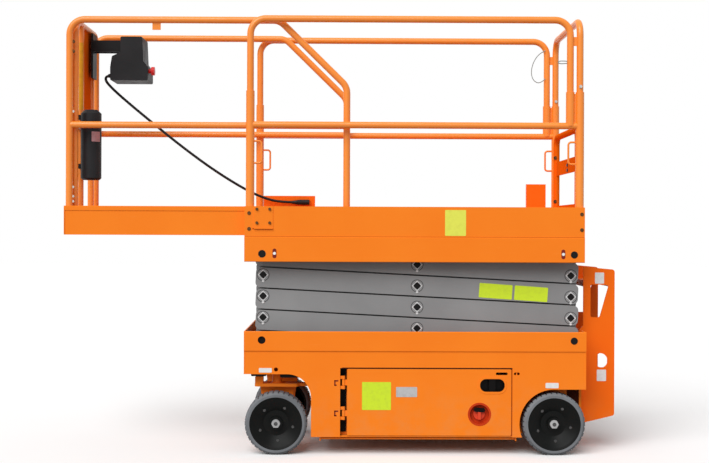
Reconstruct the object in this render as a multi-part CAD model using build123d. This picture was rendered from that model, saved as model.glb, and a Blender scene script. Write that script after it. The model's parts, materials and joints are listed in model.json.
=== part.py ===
from build123d import *
import math
import os

os.makedirs("parts", exist_ok=True)

# Self-propelled scissor lift with its deck extension rolled out, in millimetres.
# X runs from the extension at the front (low) to the ladder at the rear (high), Z is up.
# Lengths along X are given from the middle of the wheelbase and moved at the end.

# Driving sizes
WHEELBASE = 1365.0
TYRE_DIA = 305.0
TYRE_WIDTH = 105.0
HALF_WIDTH = 380.0
RAIL_HIGH = 1091.0
STAGES = 4
STAGE_H = 105.5
LIFT_DEG = 50.0

# Fits, sheets and round sections
FIT = 0.3
WALL = 6.0
TYRE_WALL = 23.0
SHOULDER = 12.0
TREAD_COUNT = 36
TREAD_CUT = (7.0, 4.5)
KINGPIN_R = 20.0
KINGPIN_BOSS_R = 24.0
SPINDLE_R = 22.0
HUB_R = 48.0
DISH_R = 62.0
NUT_R = 20.0
MOTOR_R = 60.0
STEER_ARM = 150.0
TIE_R = 9.0
TIE_EYE_R = 19.0
BALL_R = 10.0
PIN_R = 17.0
BOSS_R = 27.0
CROSS_R = 25.0
LUG_R = 26.0
LUG_PIN_R = 16.0
LUG_GAP = 28.0
LUG_T = 12.0
EYE_R = 30.0
EYE_HALF = 24.0
LASH_R = 10.0
HINGE_R = 8.0
HINGE_PIN_R = 5.0
BARREL_R = 42.0
BORE_R = 35.0
ROD_R = 25.0
RAIL_R = 17.0
SOCKET_R = 21.0
MID_R = 16.5
GRAB_R = 5.0
CABLE_R = 7.0
RAIL_BEND = 75.0
GATE_BEND = 50.0
GRAB_BEND = 14.0

# Running gear
FRONT_AXLE = -WHEELBASE / 2
REAR_AXLE = WHEELBASE / 2
TYRE_R = TYRE_DIA / 2
AXLE_Z = TYRE_R
RIM_R = TYRE_R - TYRE_WALL
WHEEL_IN = HALF_WIDTH - TYRE_WIDTH
SPINDLE_END = HALF_WIDTH - 24.0
KINGPIN_Y = WHEEL_IN - 18.0
STEER_REACH = math.hypot(TYRE_R, HALF_WIDTH - KINGPIN_Y)
KNUCKLE_LOW = TYRE_DIA + 20.0
KNUCKLE_TOP = KNUCKLE_LOW + 15.0
TIE_Z = KNUCKLE_TOP + 19.0
BAY_TOP = TYRE_DIA + 90.0

# Scissor stack
ARM_HIGH = STAGE_H - 7.5
ARM_WIDE = 50.0
ARM_WALL = 5.0
ARM_GAP = 55.0
ARM_END = 36.0
ARM_CORNER = 24.0
ARM_TILT = 1.0
SLIDE_LONG = 90.0
SLIDE_HIGH = 60.0
SLIDE_WIDE = 24.0
LUG_LOW = (80.0, 40.0)
LUG_HIGH = (180.0, 60.0)

# Chassis
CHASSIS_FRONT = FRONT_AXLE - TYRE_R - 5.0
CHASSIS_REAR = REAR_AXLE + TYRE_R + 3.0
CHASSIS_LOW = AXLE_Z - 64.5
CREASE_Z = BAY_TOP + 112.0
FRAME_TOP = CREASE_Z - 2.0
PIVOT_Z = CREASE_Z + ARM_HIGH / 2 + 6.0
CHASSIS_TOP = PIVOT_Z + 43.0
WALL_Y = HALF_WIDTH - 5.0
WALL_IN = WALL_Y - WALL
BAND_Y = HALF_WIDTH - 1.0
BAND_EDGE = 3.0
POCKET_Y = WHEEL_IN - 19.0
ARCH_R = TYRE_R + 18.5
ARCH_FRONT = FRONT_AXLE + TYRE_R + 19.5
ARCH_CORNER = 117.0
BAY_FRONT = FRONT_AXLE + STEER_REACH + 17.0
BAY_REAR = REAR_AXLE - TYRE_R - 29.5
DOOR_X = (ARCH_FRONT + 176.5, BAY_REAR - 29.5)
DOOR_Z = (CHASSIS_LOW + 8.0, BAY_TOP + 27.0)
HINGE_X = DOOR_X[0] - 17.0
HINGE_Y = WALL_Y - 9.0
HINGE_Z = (DOOR_Z[0] + 108.0, DOOR_Z[1] - 67.0)
HINGE_HALF = 32.0
LASH_Z = BAY_TOP + 23.0
GUARD_Y = HALF_WIDTH - 30.0
GUARD_Z = CHASSIS_LOW - 10.0
GUARD_DEEP = GUARD_Z - 18.0

# Door fittings
HANDLE = (122.0, 65.0)
HANDLE_AT = (DOOR_X[1] - 93.0, DOOR_Z[1] - 79.0)
ISOLATOR_R = 50.0
ISOLATOR_AT = (DOOR_X[1] - 156.0, DOOR_Z[0] + 105.0)
SLOT = (58.0, 13.0)
SLOT_AT = (DOOR_X[1] - 47.0, DOOR_Z[1] - 22.0)
PAN_DEEP = 22.0
PAN_T = 3.0
PAN_RIM = 7.0

# Places in the stack
SKIRT_Y = HALF_WIDTH - 10.0
SKIRT_IN = SKIRT_Y - WALL
SLIDE_Y = (SKIRT_IN - 1.0 - SLIDE_WIDE, SKIRT_IN - 1.0)
OUTER_Y = (SLIDE_Y[0] - ARM_GAP - ARM_WIDE, SLIDE_Y[0] - ARM_GAP)
INNER_Y = (OUTER_Y[0] - 7.0 - ARM_WIDE, OUTER_Y[0] - 7.0)
PIVOT_REAR = CHASSIS_REAR - 60.0
PIVOT_FRONT = CHASSIS_FRONT + 87.0
PIVOT_MID = (PIVOT_REAR + PIVOT_FRONT) / 2
PIVOT_TOP = PIVOT_Z + STAGES * STAGE_H
SPAN = PIVOT_REAR - PIVOT_FRONT
ARM_LONG = math.hypot(SPAN, STAGE_H)
REST_DEG = math.degrees(math.atan2(STAGE_H, SPAN))
TRACK_END = PIVOT_FRONT + 0.46 * SPAN

# Platform
DECK_FRONT = CHASSIS_FRONT
DECK_REAR = CHASSIS_REAR - 8.0
DECK_LONG = DECK_REAR - DECK_FRONT
DECK_Z = PIVOT_TOP + ARM_HIGH / 2 + 33.0
RIB_DEEP = 18.0
SKIRT_LOW = PIVOT_TOP - SLIDE_HIGH / 2 - 9.0
SKIRT_STEP = 3.0
TOE_TOP = DECK_Z + 151.0
TOE_LIP = 16.0
RAIL_TOP = DECK_Z + RAIL_HIGH
RAIL_Z = RAIL_TOP - RAIL_R
MID_Z = DECK_Z + 0.5065 * RAIL_HIGH
SOCKET_TOP = DECK_Z + 0.659 * RAIL_HIGH
LEG_LOW = SOCKET_TOP - 120.0
BRACE_Z = RAIL_TOP - 122.0
RAIL_Y = SKIRT_IN - 1.0 - SOCKET_R
FRONT_POST_X = DECK_FRONT + 25.0
SIDE_LEG_X = DECK_REAR - 70.0
REAR_POST_X = DECK_REAR - 22.0
GRAB_OUT = 56.0
GRAB_Z = (MID_Z - 188.5, MID_Z - 80.5)
GATE_Y = RAIL_Y - SOCKET_R - MID_R - 6.0
GATE_Z = (DECK_Z + 44.0, MID_Z - 10.0)
GATE_BAND = (MID_Z - 218.5, MID_Z - 143.5)
GATE_HINGE_Z = (MID_Z - 354.5, MID_Z - 108.5)
OUTLET = (105.0, 290.0)

# Extension
EXT_OUT = round(0.536 * DECK_LONG)
EXT_LAP = round(0.3144 * DECK_LONG)
EXT_FRONT = DECK_FRONT - EXT_OUT
EXT_REAR = DECK_FRONT + EXT_LAP
EXT_TRAVEL = EXT_OUT - 15.0
TOE_T = 4.0
TOE_STEP = 3.0
TOE_EDGE = 24.0
EXT_Y = RAIL_Y - SOCKET_R - 4.0
EXT_IN = EXT_Y - TOE_STEP - TOE_T
EXT_RAIL_Y = EXT_IN - 1.0 - RAIL_R
EXT_LOW = DECK_Z + 8.0
EXT_FLOOR = EXT_LOW + WALL
EXT_POST_X = (EXT_FRONT + TOE_T + RAIL_R, EXT_REAR - 25.0)
SLOPE_RUN = 0.236 * (EXT_REAR - EXT_FRONT)
SLOPE_DROP = 0.3 * RAIL_HIGH
FRONT_RAIL_X = EXT_FRONT + 39.0
FRONT_RAIL_Y = EXT_RAIL_Y - 2 * RAIL_R - 8.0
FRONT_LEG_Y = FRONT_RAIL_Y / 2
TIE_LOW_Z = EXT_FLOOR + 170.0
TIE_HIGH_Z = MID_Z + 71.5
TAB_X = EXT_FRONT + 430.0
TAB = (41.0, 33.0)

# Fittings on the extension
BOX_X = (FRONT_RAIL_X + 129.0, FRONT_RAIL_X + 324.0)
BOX_LOW = RAIL_TOP - 284.0
BOX_TOP = RAIL_TOP - 57.0
BOX_NECK = BOX_X[0] + 53.0
BOX_HALF = 85.0
BOX_Y = 0.5 * FRONT_LEG_Y
STOP_R = 22.0
CAN_R = 51.0
CAN_X = FRONT_RAIL_X + MID_R + CAN_R + FIT
CAN_Y = (FRONT_RAIL_Y + FRONT_LEG_Y) / 2
CAN_Z = (MID_Z - 269.5, MID_Z + 82.5)
CABLE_BOX_X = (EXT_REAR - 472.0, EXT_REAR - 195.0)
CABLE_BOX_Y = (EXT_Y - 74.0, EXT_Y - 36.0)
CABLE_BOX_TOP = EXT_FLOOR + 205.0
PLUG_R = 14.0
PLUG_LONG = 60.0

# Ladder
LADDER_REAR = CHASSIS_REAR + 178.0
LADDER_Y = HALF_WIDTH - 180.0
LADDER_LOW = CHASSIS_LOW + 40.0
LADDER_TOP = SKIRT_LOW - 24.0
LADDER_NECK = 19.0
STEP_SHARES = (0.238, 0.555, 0.91)
STEP_DEEP = 32.0
STEP_T = 5.0

FRAME_X = -(EXT_FRONT + LADDER_REAR) / 2


def arm_point(stage, along, up, degrees):
    """A point of an inner arm in the side view, for a lift angle."""
    turn = math.radians(degrees)
    front = PIVOT_REAR - ARM_LONG * math.cos(turn)
    rise = ARM_LONG * math.sin(turn)
    mid_x = (front + PIVOT_REAR) / 2
    mid_z = PIVOT_Z + (stage - 0.5) * rise
    x = mid_x + along * math.cos(turn) - up * math.sin(turn)
    z = mid_z + along * math.sin(turn) + up * math.cos(turn)
    return x, z


def cylinder_line(degrees):
    """Length and slope of the lift cylinder between its two lugs."""
    low = arm_point(1, ARM_LONG / 2 - LUG_LOW[0], LUG_LOW[1], degrees)
    high = arm_point(3, LUG_HIGH[0] - ARM_LONG / 2, LUG_HIGH[1], degrees)
    run = low[0] - high[0]
    rise = high[1] - low[1]
    return math.hypot(run, rise), math.degrees(math.atan2(rise, run)), low, high


CYL_LONG, CYL_DEG, CYL_LOW, CYL_HIGH = cylinder_line(REST_DEG)
CYL_LONG_UP, CYL_DEG_UP, _, _ = cylinder_line(REST_DEG + LIFT_DEG)
CYL_STROKE = CYL_LONG_UP - CYL_LONG
BARREL_LONG = 0.81 * CYL_LONG
PISTON_AT = 0.39 * CYL_LONG


def block(x, y, z):
    """A box from low to high along each axis."""
    size = (x[1] - x[0], y[1] - y[0], z[1] - z[0])
    middle = ((x[0] + x[1]) / 2, (y[0] + y[1]) / 2, (z[0] + z[1]) / 2)
    return Pos(*middle) * Box(*size)


def rod_x(y, z, r, x0, x1):
    """A round bar along the machine."""
    return Pos((x0 + x1) / 2, y, z) * Rot(0, 90, 0) * Cylinder(r, x1 - x0)


def rod_y(x, z, r, y0, y1):
    """A round bar across the machine."""
    return Pos(x, (y0 + y1) / 2, z) * Rot(90, 0, 0) * Cylinder(r, y1 - y0)


def rod_z(x, y, r, z0, z1):
    """A round bar standing up."""
    return Pos(x, y, (z0 + z1) / 2) * Cylinder(r, z1 - z0)


def far_side(shape):
    """The same piece on the other side of the machine."""
    return mirror(shape, about=Plane.XZ)


def both(shape):
    """A near piece and its far twin."""
    return shape + far_side(shape)


def joined(shapes):
    """One shape from a row of shapes."""
    result = None
    for shape in shapes:
        result = shape if result is None else result + shape
    return result


def plate_xz(sketch, y0, y1):
    """A flat plate in the side view, from y0 to y1."""
    side = Plane(origin=(0, y1, 0), x_dir=(1, 0, 0), z_dir=(0, -1, 0))
    return extrude(side * sketch, amount=y1 - y0)


def outline(*points):
    """A filled outline through points."""
    return make_face(Polyline(*points, close=True))


def bent_tube(points, bend, r):
    """A round tube along straight runs with one bend radius."""
    path = FilletPolyline(*points, radius=bend)
    ring = Plane(origin=path @ 0, z_dir=path % 0) * Circle(r)
    return sweep(ring, path=path)


# Chassis

def pivot_holes(face, z):
    """Cuts the fixed pivot's hole and the sliding end's access hole."""
    face -= Pos(PIVOT_REAR, z) * Circle(PIN_R + FIT)
    return face - Pos(PIVOT_FRONT, z) * Circle(PIN_R + 2)


def chassis_sides():
    front = CHASSIS_FRONT + WALL
    rear = CHASSIS_REAR - WALL
    face = outline(
        (front, BAY_TOP),
        (ARCH_FRONT - ARCH_CORNER, BAY_TOP),
        (ARCH_FRONT, BAY_TOP - ARCH_CORNER),
        (ARCH_FRONT, CHASSIS_LOW),
        (rear, CHASSIS_LOW),
        (rear, CHASSIS_TOP),
        (front, CHASSIS_TOP),
    )
    face -= Pos(ARCH_FRONT - ARCH_CORNER, BAY_TOP - ARCH_CORNER) * Circle(ARCH_CORNER)
    face -= Pos(REAR_AXLE, AXLE_Z) * Circle(ARCH_R)
    low_box = (CHASSIS_REAR - REAR_AXLE, AXLE_Z + ARCH_R)
    face -= Pos(REAR_AXLE + low_box[0] / 2, low_box[1] / 2) * Rectangle(*low_box)
    mouth = (HINGE_X - 17.0, DOOR_X[1] + 4.0)
    mouth_size = (mouth[1] - mouth[0], DOOR_Z[1] + 4.0)
    face -= Pos(mouth[0] + mouth_size[0] / 2, mouth_size[1] / 2) * Rectangle(*mouth_size)
    face -= Pos(DOOR_X[1] + 27.0, SLOT_AT[1]) * SlotOverall(SLOT[0] / 2, SLOT[1])
    face -= Pos(FRONT_AXLE, LASH_Z) * Circle(LASH_R)
    wall = plate_xz(pivot_holes(face, PIVOT_Z), -WALL_Y + 1.0, -WALL_IN)
    liner = outline((front, CREASE_Z), (rear, CREASE_Z), (rear, CHASSIS_TOP), (front, CHASSIS_TOP))
    wall += plate_xz(pivot_holes(liner, PIVOT_Z), -WALL_Y, -WALL_Y + 1.5)
    ends = (CHASSIS_FRONT, CHASSIS_REAR)
    band = block(ends, (-BAND_Y, -WALL_Y), (CREASE_Z, CHASSIS_TOP))
    band = chamfer(band.edges().filter_by(Axis.X).group_by(Axis.Y)[0], BAND_EDGE)
    for x, r in ((PIVOT_REAR, PIN_R + FIT), (PIVOT_FRONT, PIN_R + 2)):
        band -= rod_y(x, PIVOT_Z, r, -BAND_Y - 1, -WALL_Y + 1)
    return both(wall + band)


def chassis_frame():
    front = CHASSIS_FRONT + WALL
    rear = CHASSIS_REAR - WALL
    low = CHASSIS_LOW + WALL
    under = FRAME_TOP - WALL
    across = (-WALL_IN, WALL_IN)
    frame = block((front, rear), across, (under, FRAME_TOP))
    frame += block((BAY_FRONT, BAY_REAR), across, (CHASSIS_LOW, low))
    for x in (BAY_FRONT, BAY_REAR - WALL):
        frame += block((x, x + WALL), across, (low, under))
    for y in (-POCKET_Y, POCKET_Y - WALL):
        frame += block((BAY_REAR, rear), (y, y + WALL), (CHASSIS_LOW, under))
    frame += block((BAY_REAR, rear), (-POCKET_Y, POCKET_Y), (CHASSIS_LOW, low))
    frame += block((rear - WALL, CHASSIS_REAR), (-POCKET_Y, POCKET_Y), (CHASSIS_LOW, FRAME_TOP))
    frame += block((rear, CHASSIS_REAR), (-WALL_Y, WALL_Y), (AXLE_Z + ARCH_R, FRAME_TOP))
    frame += block((CHASSIS_FRONT, front), (-WALL_Y, WALL_Y), (BAY_TOP, CHASSIS_TOP))
    web = block((BAY_FRONT, DOOR_X[0] + 29.0), (-WALL_Y + 57.0, -WALL_Y + 63.0), (low, under))
    frame += both(web)
    corner = block((rear, CHASSIS_REAR), (-WALL_Y, -OUTER_Y[1] - 10.0), (FRAME_TOP, CHASSIS_TOP))
    stub = rod_y(REAR_AXLE, AXLE_Z, SPINDLE_R + 33.0, -POCKET_Y - 8.0, -POCKET_Y)
    stub += rod_y(REAR_AXLE, AXLE_Z, SPINDLE_R, -SPINDLE_END, -POCKET_Y - 8.0)
    frame += both(corner) + both(stub)
    for x in (BAY_FRONT + 1.0, BAY_REAR - WALL - 2.0):
        ear = block((x, x + WALL), (-GUARD_Y - 10, -GUARD_Y + 10), (GUARD_Z - 10, CHASSIS_LOW))
        ear -= rod_x(-GUARD_Y, GUARD_Z, HINGE_PIN_R + FIT, x - WALL, x + 2 * WALL)
        frame += both(ear)
    return frame


def steer_axle():
    under = FRAME_TOP - WALL
    half = KINGPIN_R + 58.0
    across = (-WALL_Y + 35.0, WALL_Y - 35.0)
    axle = block((FRONT_AXLE - half, FRONT_AXLE + half), across, (BAY_TOP, BAY_TOP + 10))
    for x in (FRONT_AXLE - half, FRONT_AXLE + half - 8):
        axle += block((x, x + 8), across, (BAY_TOP + 10, under))
    for y in (-KINGPIN_Y, KINGPIN_Y):
        axle += rod_z(FRONT_AXLE, y, KINGPIN_R + 16, BAY_TOP - 10, under)
        axle -= rod_z(FRONT_AXLE, y, KINGPIN_R + FIT, BAY_TOP - 20, under)
    return axle


def arm_tracks():
    floor_top = PIVOT_Z - SLIDE_HIGH / 2 - FIT
    roof_low = PIVOT_Z + SLIDE_HIGH / 2 + FIT
    x = (CHASSIS_FRONT + WALL, TRACK_END)
    y = (-WALL_IN, -SLIDE_Y[0] - 1)
    return both(block(x, y, (floor_top - 8, floor_top)) + block(x, y, (roof_low, roof_low + 8)))


def battery_pack():
    x = (DOOR_X[0] + 34.0, DOOR_X[1] - 51.0)
    return block(x, (-WALL_Y + 45.0, -0.35 * WALL_Y), (CHASSIS_LOW + WALL, BAY_TOP - 23.0))


def hydraulic_unit():
    return far_side(battery_pack())


def ladder():
    foot = CHASSIS_REAR
    face = outline(
        (foot, LADDER_LOW),
        (LADDER_REAR, LADDER_LOW + 43),
        (LADDER_REAR, LADDER_TOP - 14),
        (foot + LADDER_NECK, LADDER_TOP),
        (foot + LADDER_NECK, CHASSIS_TOP + LADDER_NECK),
        (foot, CHASSIS_TOP),
    )
    outer = face.vertices().sort_by(Axis.X)[-2:]
    face = fillet(outer, 14)
    hold_top = LADDER_TOP - 89.0
    hold_low = LADDER_TOP - 255.0
    hold = outline(
        (foot + 56, hold_low),
        (foot + 102, hold_low),
        (foot + 148, hold_top - 3),
        (foot + 56, hold_top),
    )
    face -= fillet(hold.vertices(), 10)
    face -= Pos(foot + 116, CHASSIS_TOP - 156) * RectangleRounded(52, 72, 18)
    result = both(plate_xz(face, -LADDER_Y, -LADDER_Y + WALL))
    inner = LADDER_Y - WALL
    front = foot + LADDER_NECK + 15.0
    rear = LADDER_REAR - 8.0
    for share in STEP_SHARES:
        z = LADDER_LOW + share * (LADDER_TOP - LADDER_LOW)
        result += block((front, rear), (-inner, inner), (z - STEP_T, z))
        for x in (front, rear - STEP_T):
            result += block((x, x + STEP_T), (-inner, inner), (z - STEP_DEEP, z - STEP_T))
    return result


def door_hinges():
    """Tabs and pins that the doors swing on."""
    result = None
    for z in HINGE_Z:
        hinge = rod_z(HINGE_X, -HINGE_Y, HINGE_PIN_R, z - HINGE_HALF, z + HINGE_HALF)
        for z0, z1 in ((z - HINGE_HALF, z - 17), (z + 17, z + HINGE_HALF)):
            hinge += block((HINGE_X - 30, HINGE_X), (-WALL_IN, -HINGE_Y + 6), (z0, z1))
            hinge += rod_z(HINGE_X, -HINGE_Y, HINGE_R, z0, z1)
        result = hinge if result is None else result + hinge
    return both(result)


def pan_outline(grow):
    return Pos(*HANDLE_AT) * RectangleRounded(HANDLE[0] + 2 * grow, HANDLE[1] + 2 * grow, 30 + grow)


def dial_outline(grow):
    return Pos(*ISOLATOR_AT) * Circle(ISOLATOR_R + grow)


def door(isolator):
    size = (DOOR_X[1] - DOOR_X[0], DOOR_Z[1] - DOOR_Z[0])
    face = Pos(DOOR_X[0] + size[0] / 2, DOOR_Z[0] + size[1] / 2) * RectangleRounded(*size, 6)
    face -= pan_outline(0)
    face -= Pos(*SLOT_AT) * SlotOverall(*SLOT)
    if isolator:
        face -= dial_outline(0)
    panel = plate_xz(face, -WALL_Y + 1, -WALL_IN)
    for z in HINGE_Z:
        strap = (DOOR_X[0] - 13.0, DOOR_X[0] + 30.0)
        panel += block(strap, (-HINGE_Y - 3.5, -HINGE_Y + 3), (z - 14, z + 14))
        panel += rod_z(HINGE_X, -HINGE_Y, HINGE_R, z - 14, z + 14)
        panel -= rod_z(HINGE_X, -HINGE_Y, HINGE_PIN_R + FIT, z - 20, z + 20)
    return panel


def pan(shape):
    """A rimmed cup let into a door."""
    rim = plate_xz(shape(PAN_RIM) - shape(-PAN_T), -WALL_Y, -WALL_Y + 1)
    side = plate_xz(shape(0) - shape(-PAN_T), -WALL_Y + 1, -WALL_IN + PAN_DEEP)
    floor = plate_xz(shape(0), -WALL_IN + PAN_DEEP - PAN_T, -WALL_IN + PAN_DEEP)
    return rim + side + floor


def door_handle():
    grip_x = (HANDLE_AT[0] - 16, HANDLE_AT[0] + 16)
    grip_z = (HANDLE_AT[1] - HANDLE[1] / 2, HANDLE_AT[1] + HANDLE[1] / 2)
    return pan(pan_outline) + block(grip_x, (-WALL_IN, -WALL_IN + 9), grip_z)


def isolator_cup():
    return pan(dial_outline)


def isolator_knob():
    x, z = ISOLATOR_AT
    back = -WALL_IN + PAN_DEEP - PAN_T
    knob = rod_y(x, z, 0.56 * ISOLATOR_R, back - 10, back)
    knob += block((x - 7, x + 7), (back - 24, back - 10), (z - 26, z + 26))
    return knob


def guard():
    x = (BAY_FRONT + 8.5, BAY_REAR - WALL - 3.5)
    leaf = block(x, (-GUARD_Y + 2, -GUARD_Y + GUARD_DEEP), (GUARD_Z - 3, GUARD_Z + 3))
    return leaf + rod_x(-GUARD_Y, GUARD_Z, HINGE_PIN_R, x[0] - 8, x[1] + 8)


# Wheels and steering

def steer_knuckle():
    x = FRONT_AXLE
    y = -KINGPIN_Y
    arm_x = x + STEER_ARM
    side = 47.0
    fork = KNUCKLE_LOW, KNUCKLE_TOP
    plan = Pos(x, y) * RectangleRounded(220, 2 * side, 20)
    plan += Pos((x + arm_x) / 2, y) * SlotCenterToCenter(STEER_ARM, 44)
    knuckle = extrude(Pos(0, 0, fork[0]) * plan, amount=fork[1] - fork[0])
    knuckle += rod_z(arm_x, y, BALL_R, fork[1], TIE_Z + 15)
    knuckle += rod_z(x, y, KINGPIN_R, fork[1], FRAME_TOP - WALL - 9)
    knuckle += rod_z(x, y, KINGPIN_BOSS_R, fork[1], BAY_TOP - 17)
    web_y = (-WHEEL_IN + 27, -WHEEL_IN + 43)
    web = outline(
        (x - MOTOR_R, AXLE_Z),
        (x + MOTOR_R, AXLE_Z),
        (x + MOTOR_R + 26, fork[0]),
        (x - MOTOR_R - 26, fork[0]),
    )
    web += Pos(x, AXLE_Z) * Circle(MOTOR_R)
    knuckle += plate_xz(web, *web_y)
    knuckle += rod_y(x, AXLE_Z, MOTOR_R - 4, web_y[1], web_y[1] + 80)
    knuckle += rod_y(x, AXLE_Z, SPINDLE_R + 33, web_y[0] - 12, web_y[0])
    return knuckle + rod_y(x, AXLE_Z, SPINDLE_R, -SPINDLE_END, web_y[0] - 12)


def tie_rod():
    x = FRONT_AXLE + STEER_ARM
    bar = rod_y(x, TIE_Z, TIE_R, -KINGPIN_Y, KINGPIN_Y)
    for y in (-KINGPIN_Y, KINGPIN_Y):
        bar += rod_z(x, y, TIE_EYE_R, TIE_Z - 11, TIE_Z + 11)
        bar -= rod_z(x, y, BALL_R + FIT, TIE_Z - 20, TIE_Z + 20)
    return bar


def wheel_rim(axle_x, side):
    half = HALF_WIDTH
    hole = SPINDLE_R + FIT
    profile = outline(
        (hole, WHEEL_IN - 4),
        (HUB_R, WHEEL_IN - 4),
        (HUB_R, half - 44),
        (DISH_R, half - 44),
        (RIM_R - 14, half - 22),
        (RIM_R - 14, WHEEL_IN + 2),
        (RIM_R, WHEEL_IN + 2),
        (RIM_R, half - 2),
        (RIM_R - 12, half - 6),
        (DISH_R, half - 34),
        (hole + 9, half - 34),
        (hole + 9, half - 12),
        (0, half - 12),
        (0, half - 20),
        (hole, half - 20),
    )
    rim = revolve(Plane.XY * profile, Axis.Y)
    rim += plate_xz(RegularPolygon(NUT_R, 6), half - 12, half - 2)
    rim = Pos(axle_x, 0, AXLE_Z) * rim
    return far_side(rim) if side < 0 else rim


def wheel_tyre(axle_x, side):
    """Solid tyre: flat lands between grooves across the tread, so few faces carry the pattern."""
    half = HALF_WIDTH
    ring = RegularPolygon(TYRE_R, TREAD_COUNT, major_radius=False) - Circle(RIM_R)
    tyre = plate_xz(ring, WHEEL_IN, half)
    shoulders = [edge for edge in tyre.edges().filter_by(GeomType.LINE) if abs(edge.tangent_at(0).Y) < 0.5]
    tyre = chamfer(shoulders, SHOULDER)
    wide, deep = TREAD_CUT
    groove = block((TYRE_R - deep, TYRE_R + deep), (WHEEL_IN - 1, half + 1), (-wide / 2, wide / 2))
    turns = [360.0 * k / TREAD_COUNT for k in range(TREAD_COUNT)]
    tyre -= [Rot(0, turn, 0) * groove for turn in turns]
    tyre = Pos(axle_x, 0, AXLE_Z) * Rot(0, 90 + 180 / TREAD_COUNT, 0) * tyre
    return far_side(tyre) if side < 0 else tyre


# Scissor arms, each built level about its middle pivot and then tilted

def beam(y, bores):
    """One hollow arm tube with its three pivot bosses."""
    long = ARM_LONG + 2 * ARM_END
    tilt = Rot(0, 0, ARM_TILT)
    face = tilt * RectangleRounded(long, ARM_HIGH, ARM_CORNER)
    hollow = tilt * Rectangle(long - 2.5 * ARM_CORNER, ARM_HIGH - 2 * ARM_WALL)
    tube = plate_xz(face, y[0], y[1])
    tube -= plate_xz(hollow, y[0] + ARM_WALL, y[1] - ARM_WALL)
    for along in (-ARM_LONG / 2, 0.0, ARM_LONG / 2):
        tube += rod_y(along, 0, BOSS_R, y[0], y[1])
    for along in bores:
        tube -= rod_y(along, 0, PIN_R + FIT, y[0] - 1, y[1] + 1)
    return tube


def place_arm(shape, stage, turn):
    middle = PIVOT_Z + (stage - 0.5) * STAGE_H
    return Pos(PIVOT_MID, 0, middle) * Rot(0, turn, 0) * shape


def outer_arm(stage):
    half = ARM_LONG / 2
    bores = [-half, 0.0, half]
    if stage == 1:
        bores.remove(half)
    if stage == STAGES:
        bores.remove(-half)
    near = beam((-OUTER_Y[1], -OUTER_Y[0]), bores)
    if stage == 1:
        near += rod_y(half, 0, PIN_R, -WALL_Y + 0.5, -OUTER_Y[0])
    if stage == STAGES:
        near += rod_y(-half, 0, PIN_R, -SLIDE_Y[1], -OUTER_Y[0])
    return place_arm(both(near), stage, REST_DEG)


def lug_plates(root, along, up, pinned):
    """A pair of cylinder lugs on a cross tube, with a through pin or two pin heads."""
    root_ring = Pos(root, 0) * Circle(CROSS_R + 6)
    eye_ring = Pos(along, up) * Circle(LUG_R)
    face = make_hull(root_ring.edges() + eye_ring.edges())
    outside = LUG_GAP + LUG_T
    lugs = both(plate_xz(face, -outside, -LUG_GAP))
    if pinned:
        return lugs + rod_y(along, up, LUG_PIN_R, -outside, outside)
    return lugs + both(rod_y(along, up, LUG_PIN_R, -outside - 5, -outside))


def inner_arm(stage):
    half = ARM_LONG / 2
    near = mirror(beam((-INNER_Y[1], -INNER_Y[0]), []), about=Plane.YZ)
    reach = OUTER_Y[1] + 2
    front_reach = SLIDE_Y[1] if stage == 1 else reach
    rear_reach = SKIRT_Y - 1 if stage == STAGES else reach
    near += rod_y(-half, 0, PIN_R, -front_reach, -INNER_Y[0])
    near += rod_y(0, 0, PIN_R, -reach, -INNER_Y[0])
    near += rod_y(half, 0, PIN_R, -rear_reach, -INNER_Y[0])
    arm = both(near)
    for along in (-half, half):
        arm += rod_y(along, 0, CROSS_R, -INNER_Y[0], INNER_Y[0])
    if stage == 1:
        arm += lug_plates(half, half - LUG_LOW[0], LUG_LOW[1], True)
    if stage == 3:
        arm += lug_plates(-half, LUG_HIGH[0] - half, LUG_HIGH[1], False)
    return place_arm(arm, stage, -REST_DEG)


def slider(x, z):
    pad = block(
        (x - SLIDE_LONG / 2, x + SLIDE_LONG / 2),
        (-SLIDE_Y[1], -SLIDE_Y[0]),
        (z - SLIDE_HIGH / 2, z + SLIDE_HIGH / 2),
    )
    pad -= rod_y(x, z, PIN_R + FIT, -SLIDE_Y[1] - 1, -SLIDE_Y[0] + 1)
    return both(pad)


def place_cylinder(shape):
    """From along +X at the lower lug to its place in the stack."""
    return Pos(CYL_LOW[0], 0, CYL_LOW[1]) * Rot(0, 180 + CYL_DEG, 0) * shape


def lift_barrel():
    end = BARREL_LONG
    barrel = rod_x(0, 0, BARREL_R, 40, end)
    barrel += rod_x(0, 0, BARREL_R + 5, end - 50, end + 10)
    barrel += rod_y(0, 0, EYE_R, -EYE_HALF, EYE_HALF)
    barrel += block((0, 60), (-EYE_HALF, EYE_HALF), (-EYE_R + 2, EYE_R - 2))
    barrel -= rod_x(0, 0, BORE_R, 80, end - 40)
    barrel -= rod_x(0, 0, ROD_R + FIT, end - 60, end + 20)
    barrel -= rod_y(0, 0, LUG_PIN_R + FIT, -EYE_R, EYE_R)
    return place_cylinder(barrel)


def lift_rod():
    rod = rod_x(0, 0, ROD_R, PISTON_AT, CYL_LONG - 10)
    rod += rod_x(0, 0, BORE_R - FIT, PISTON_AT, PISTON_AT + 45)
    rod += rod_y(CYL_LONG, 0, EYE_R, -EYE_HALF, EYE_HALF)
    return place_cylinder(rod)


# Platform

def platform_deck():
    across = (-SKIRT_IN, SKIRT_IN)
    deck = block((DECK_FRONT, DECK_REAR), across, (DECK_Z - WALL, DECK_Z))
    for share in (0.0, 0.25, 0.5, 0.75, 1.0):
        x = DECK_FRONT + share * (DECK_LONG - WALL)
        deck += block((x, x + WALL), across, (DECK_Z - WALL - RIB_DEEP, DECK_Z - WALL))
    return deck


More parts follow.
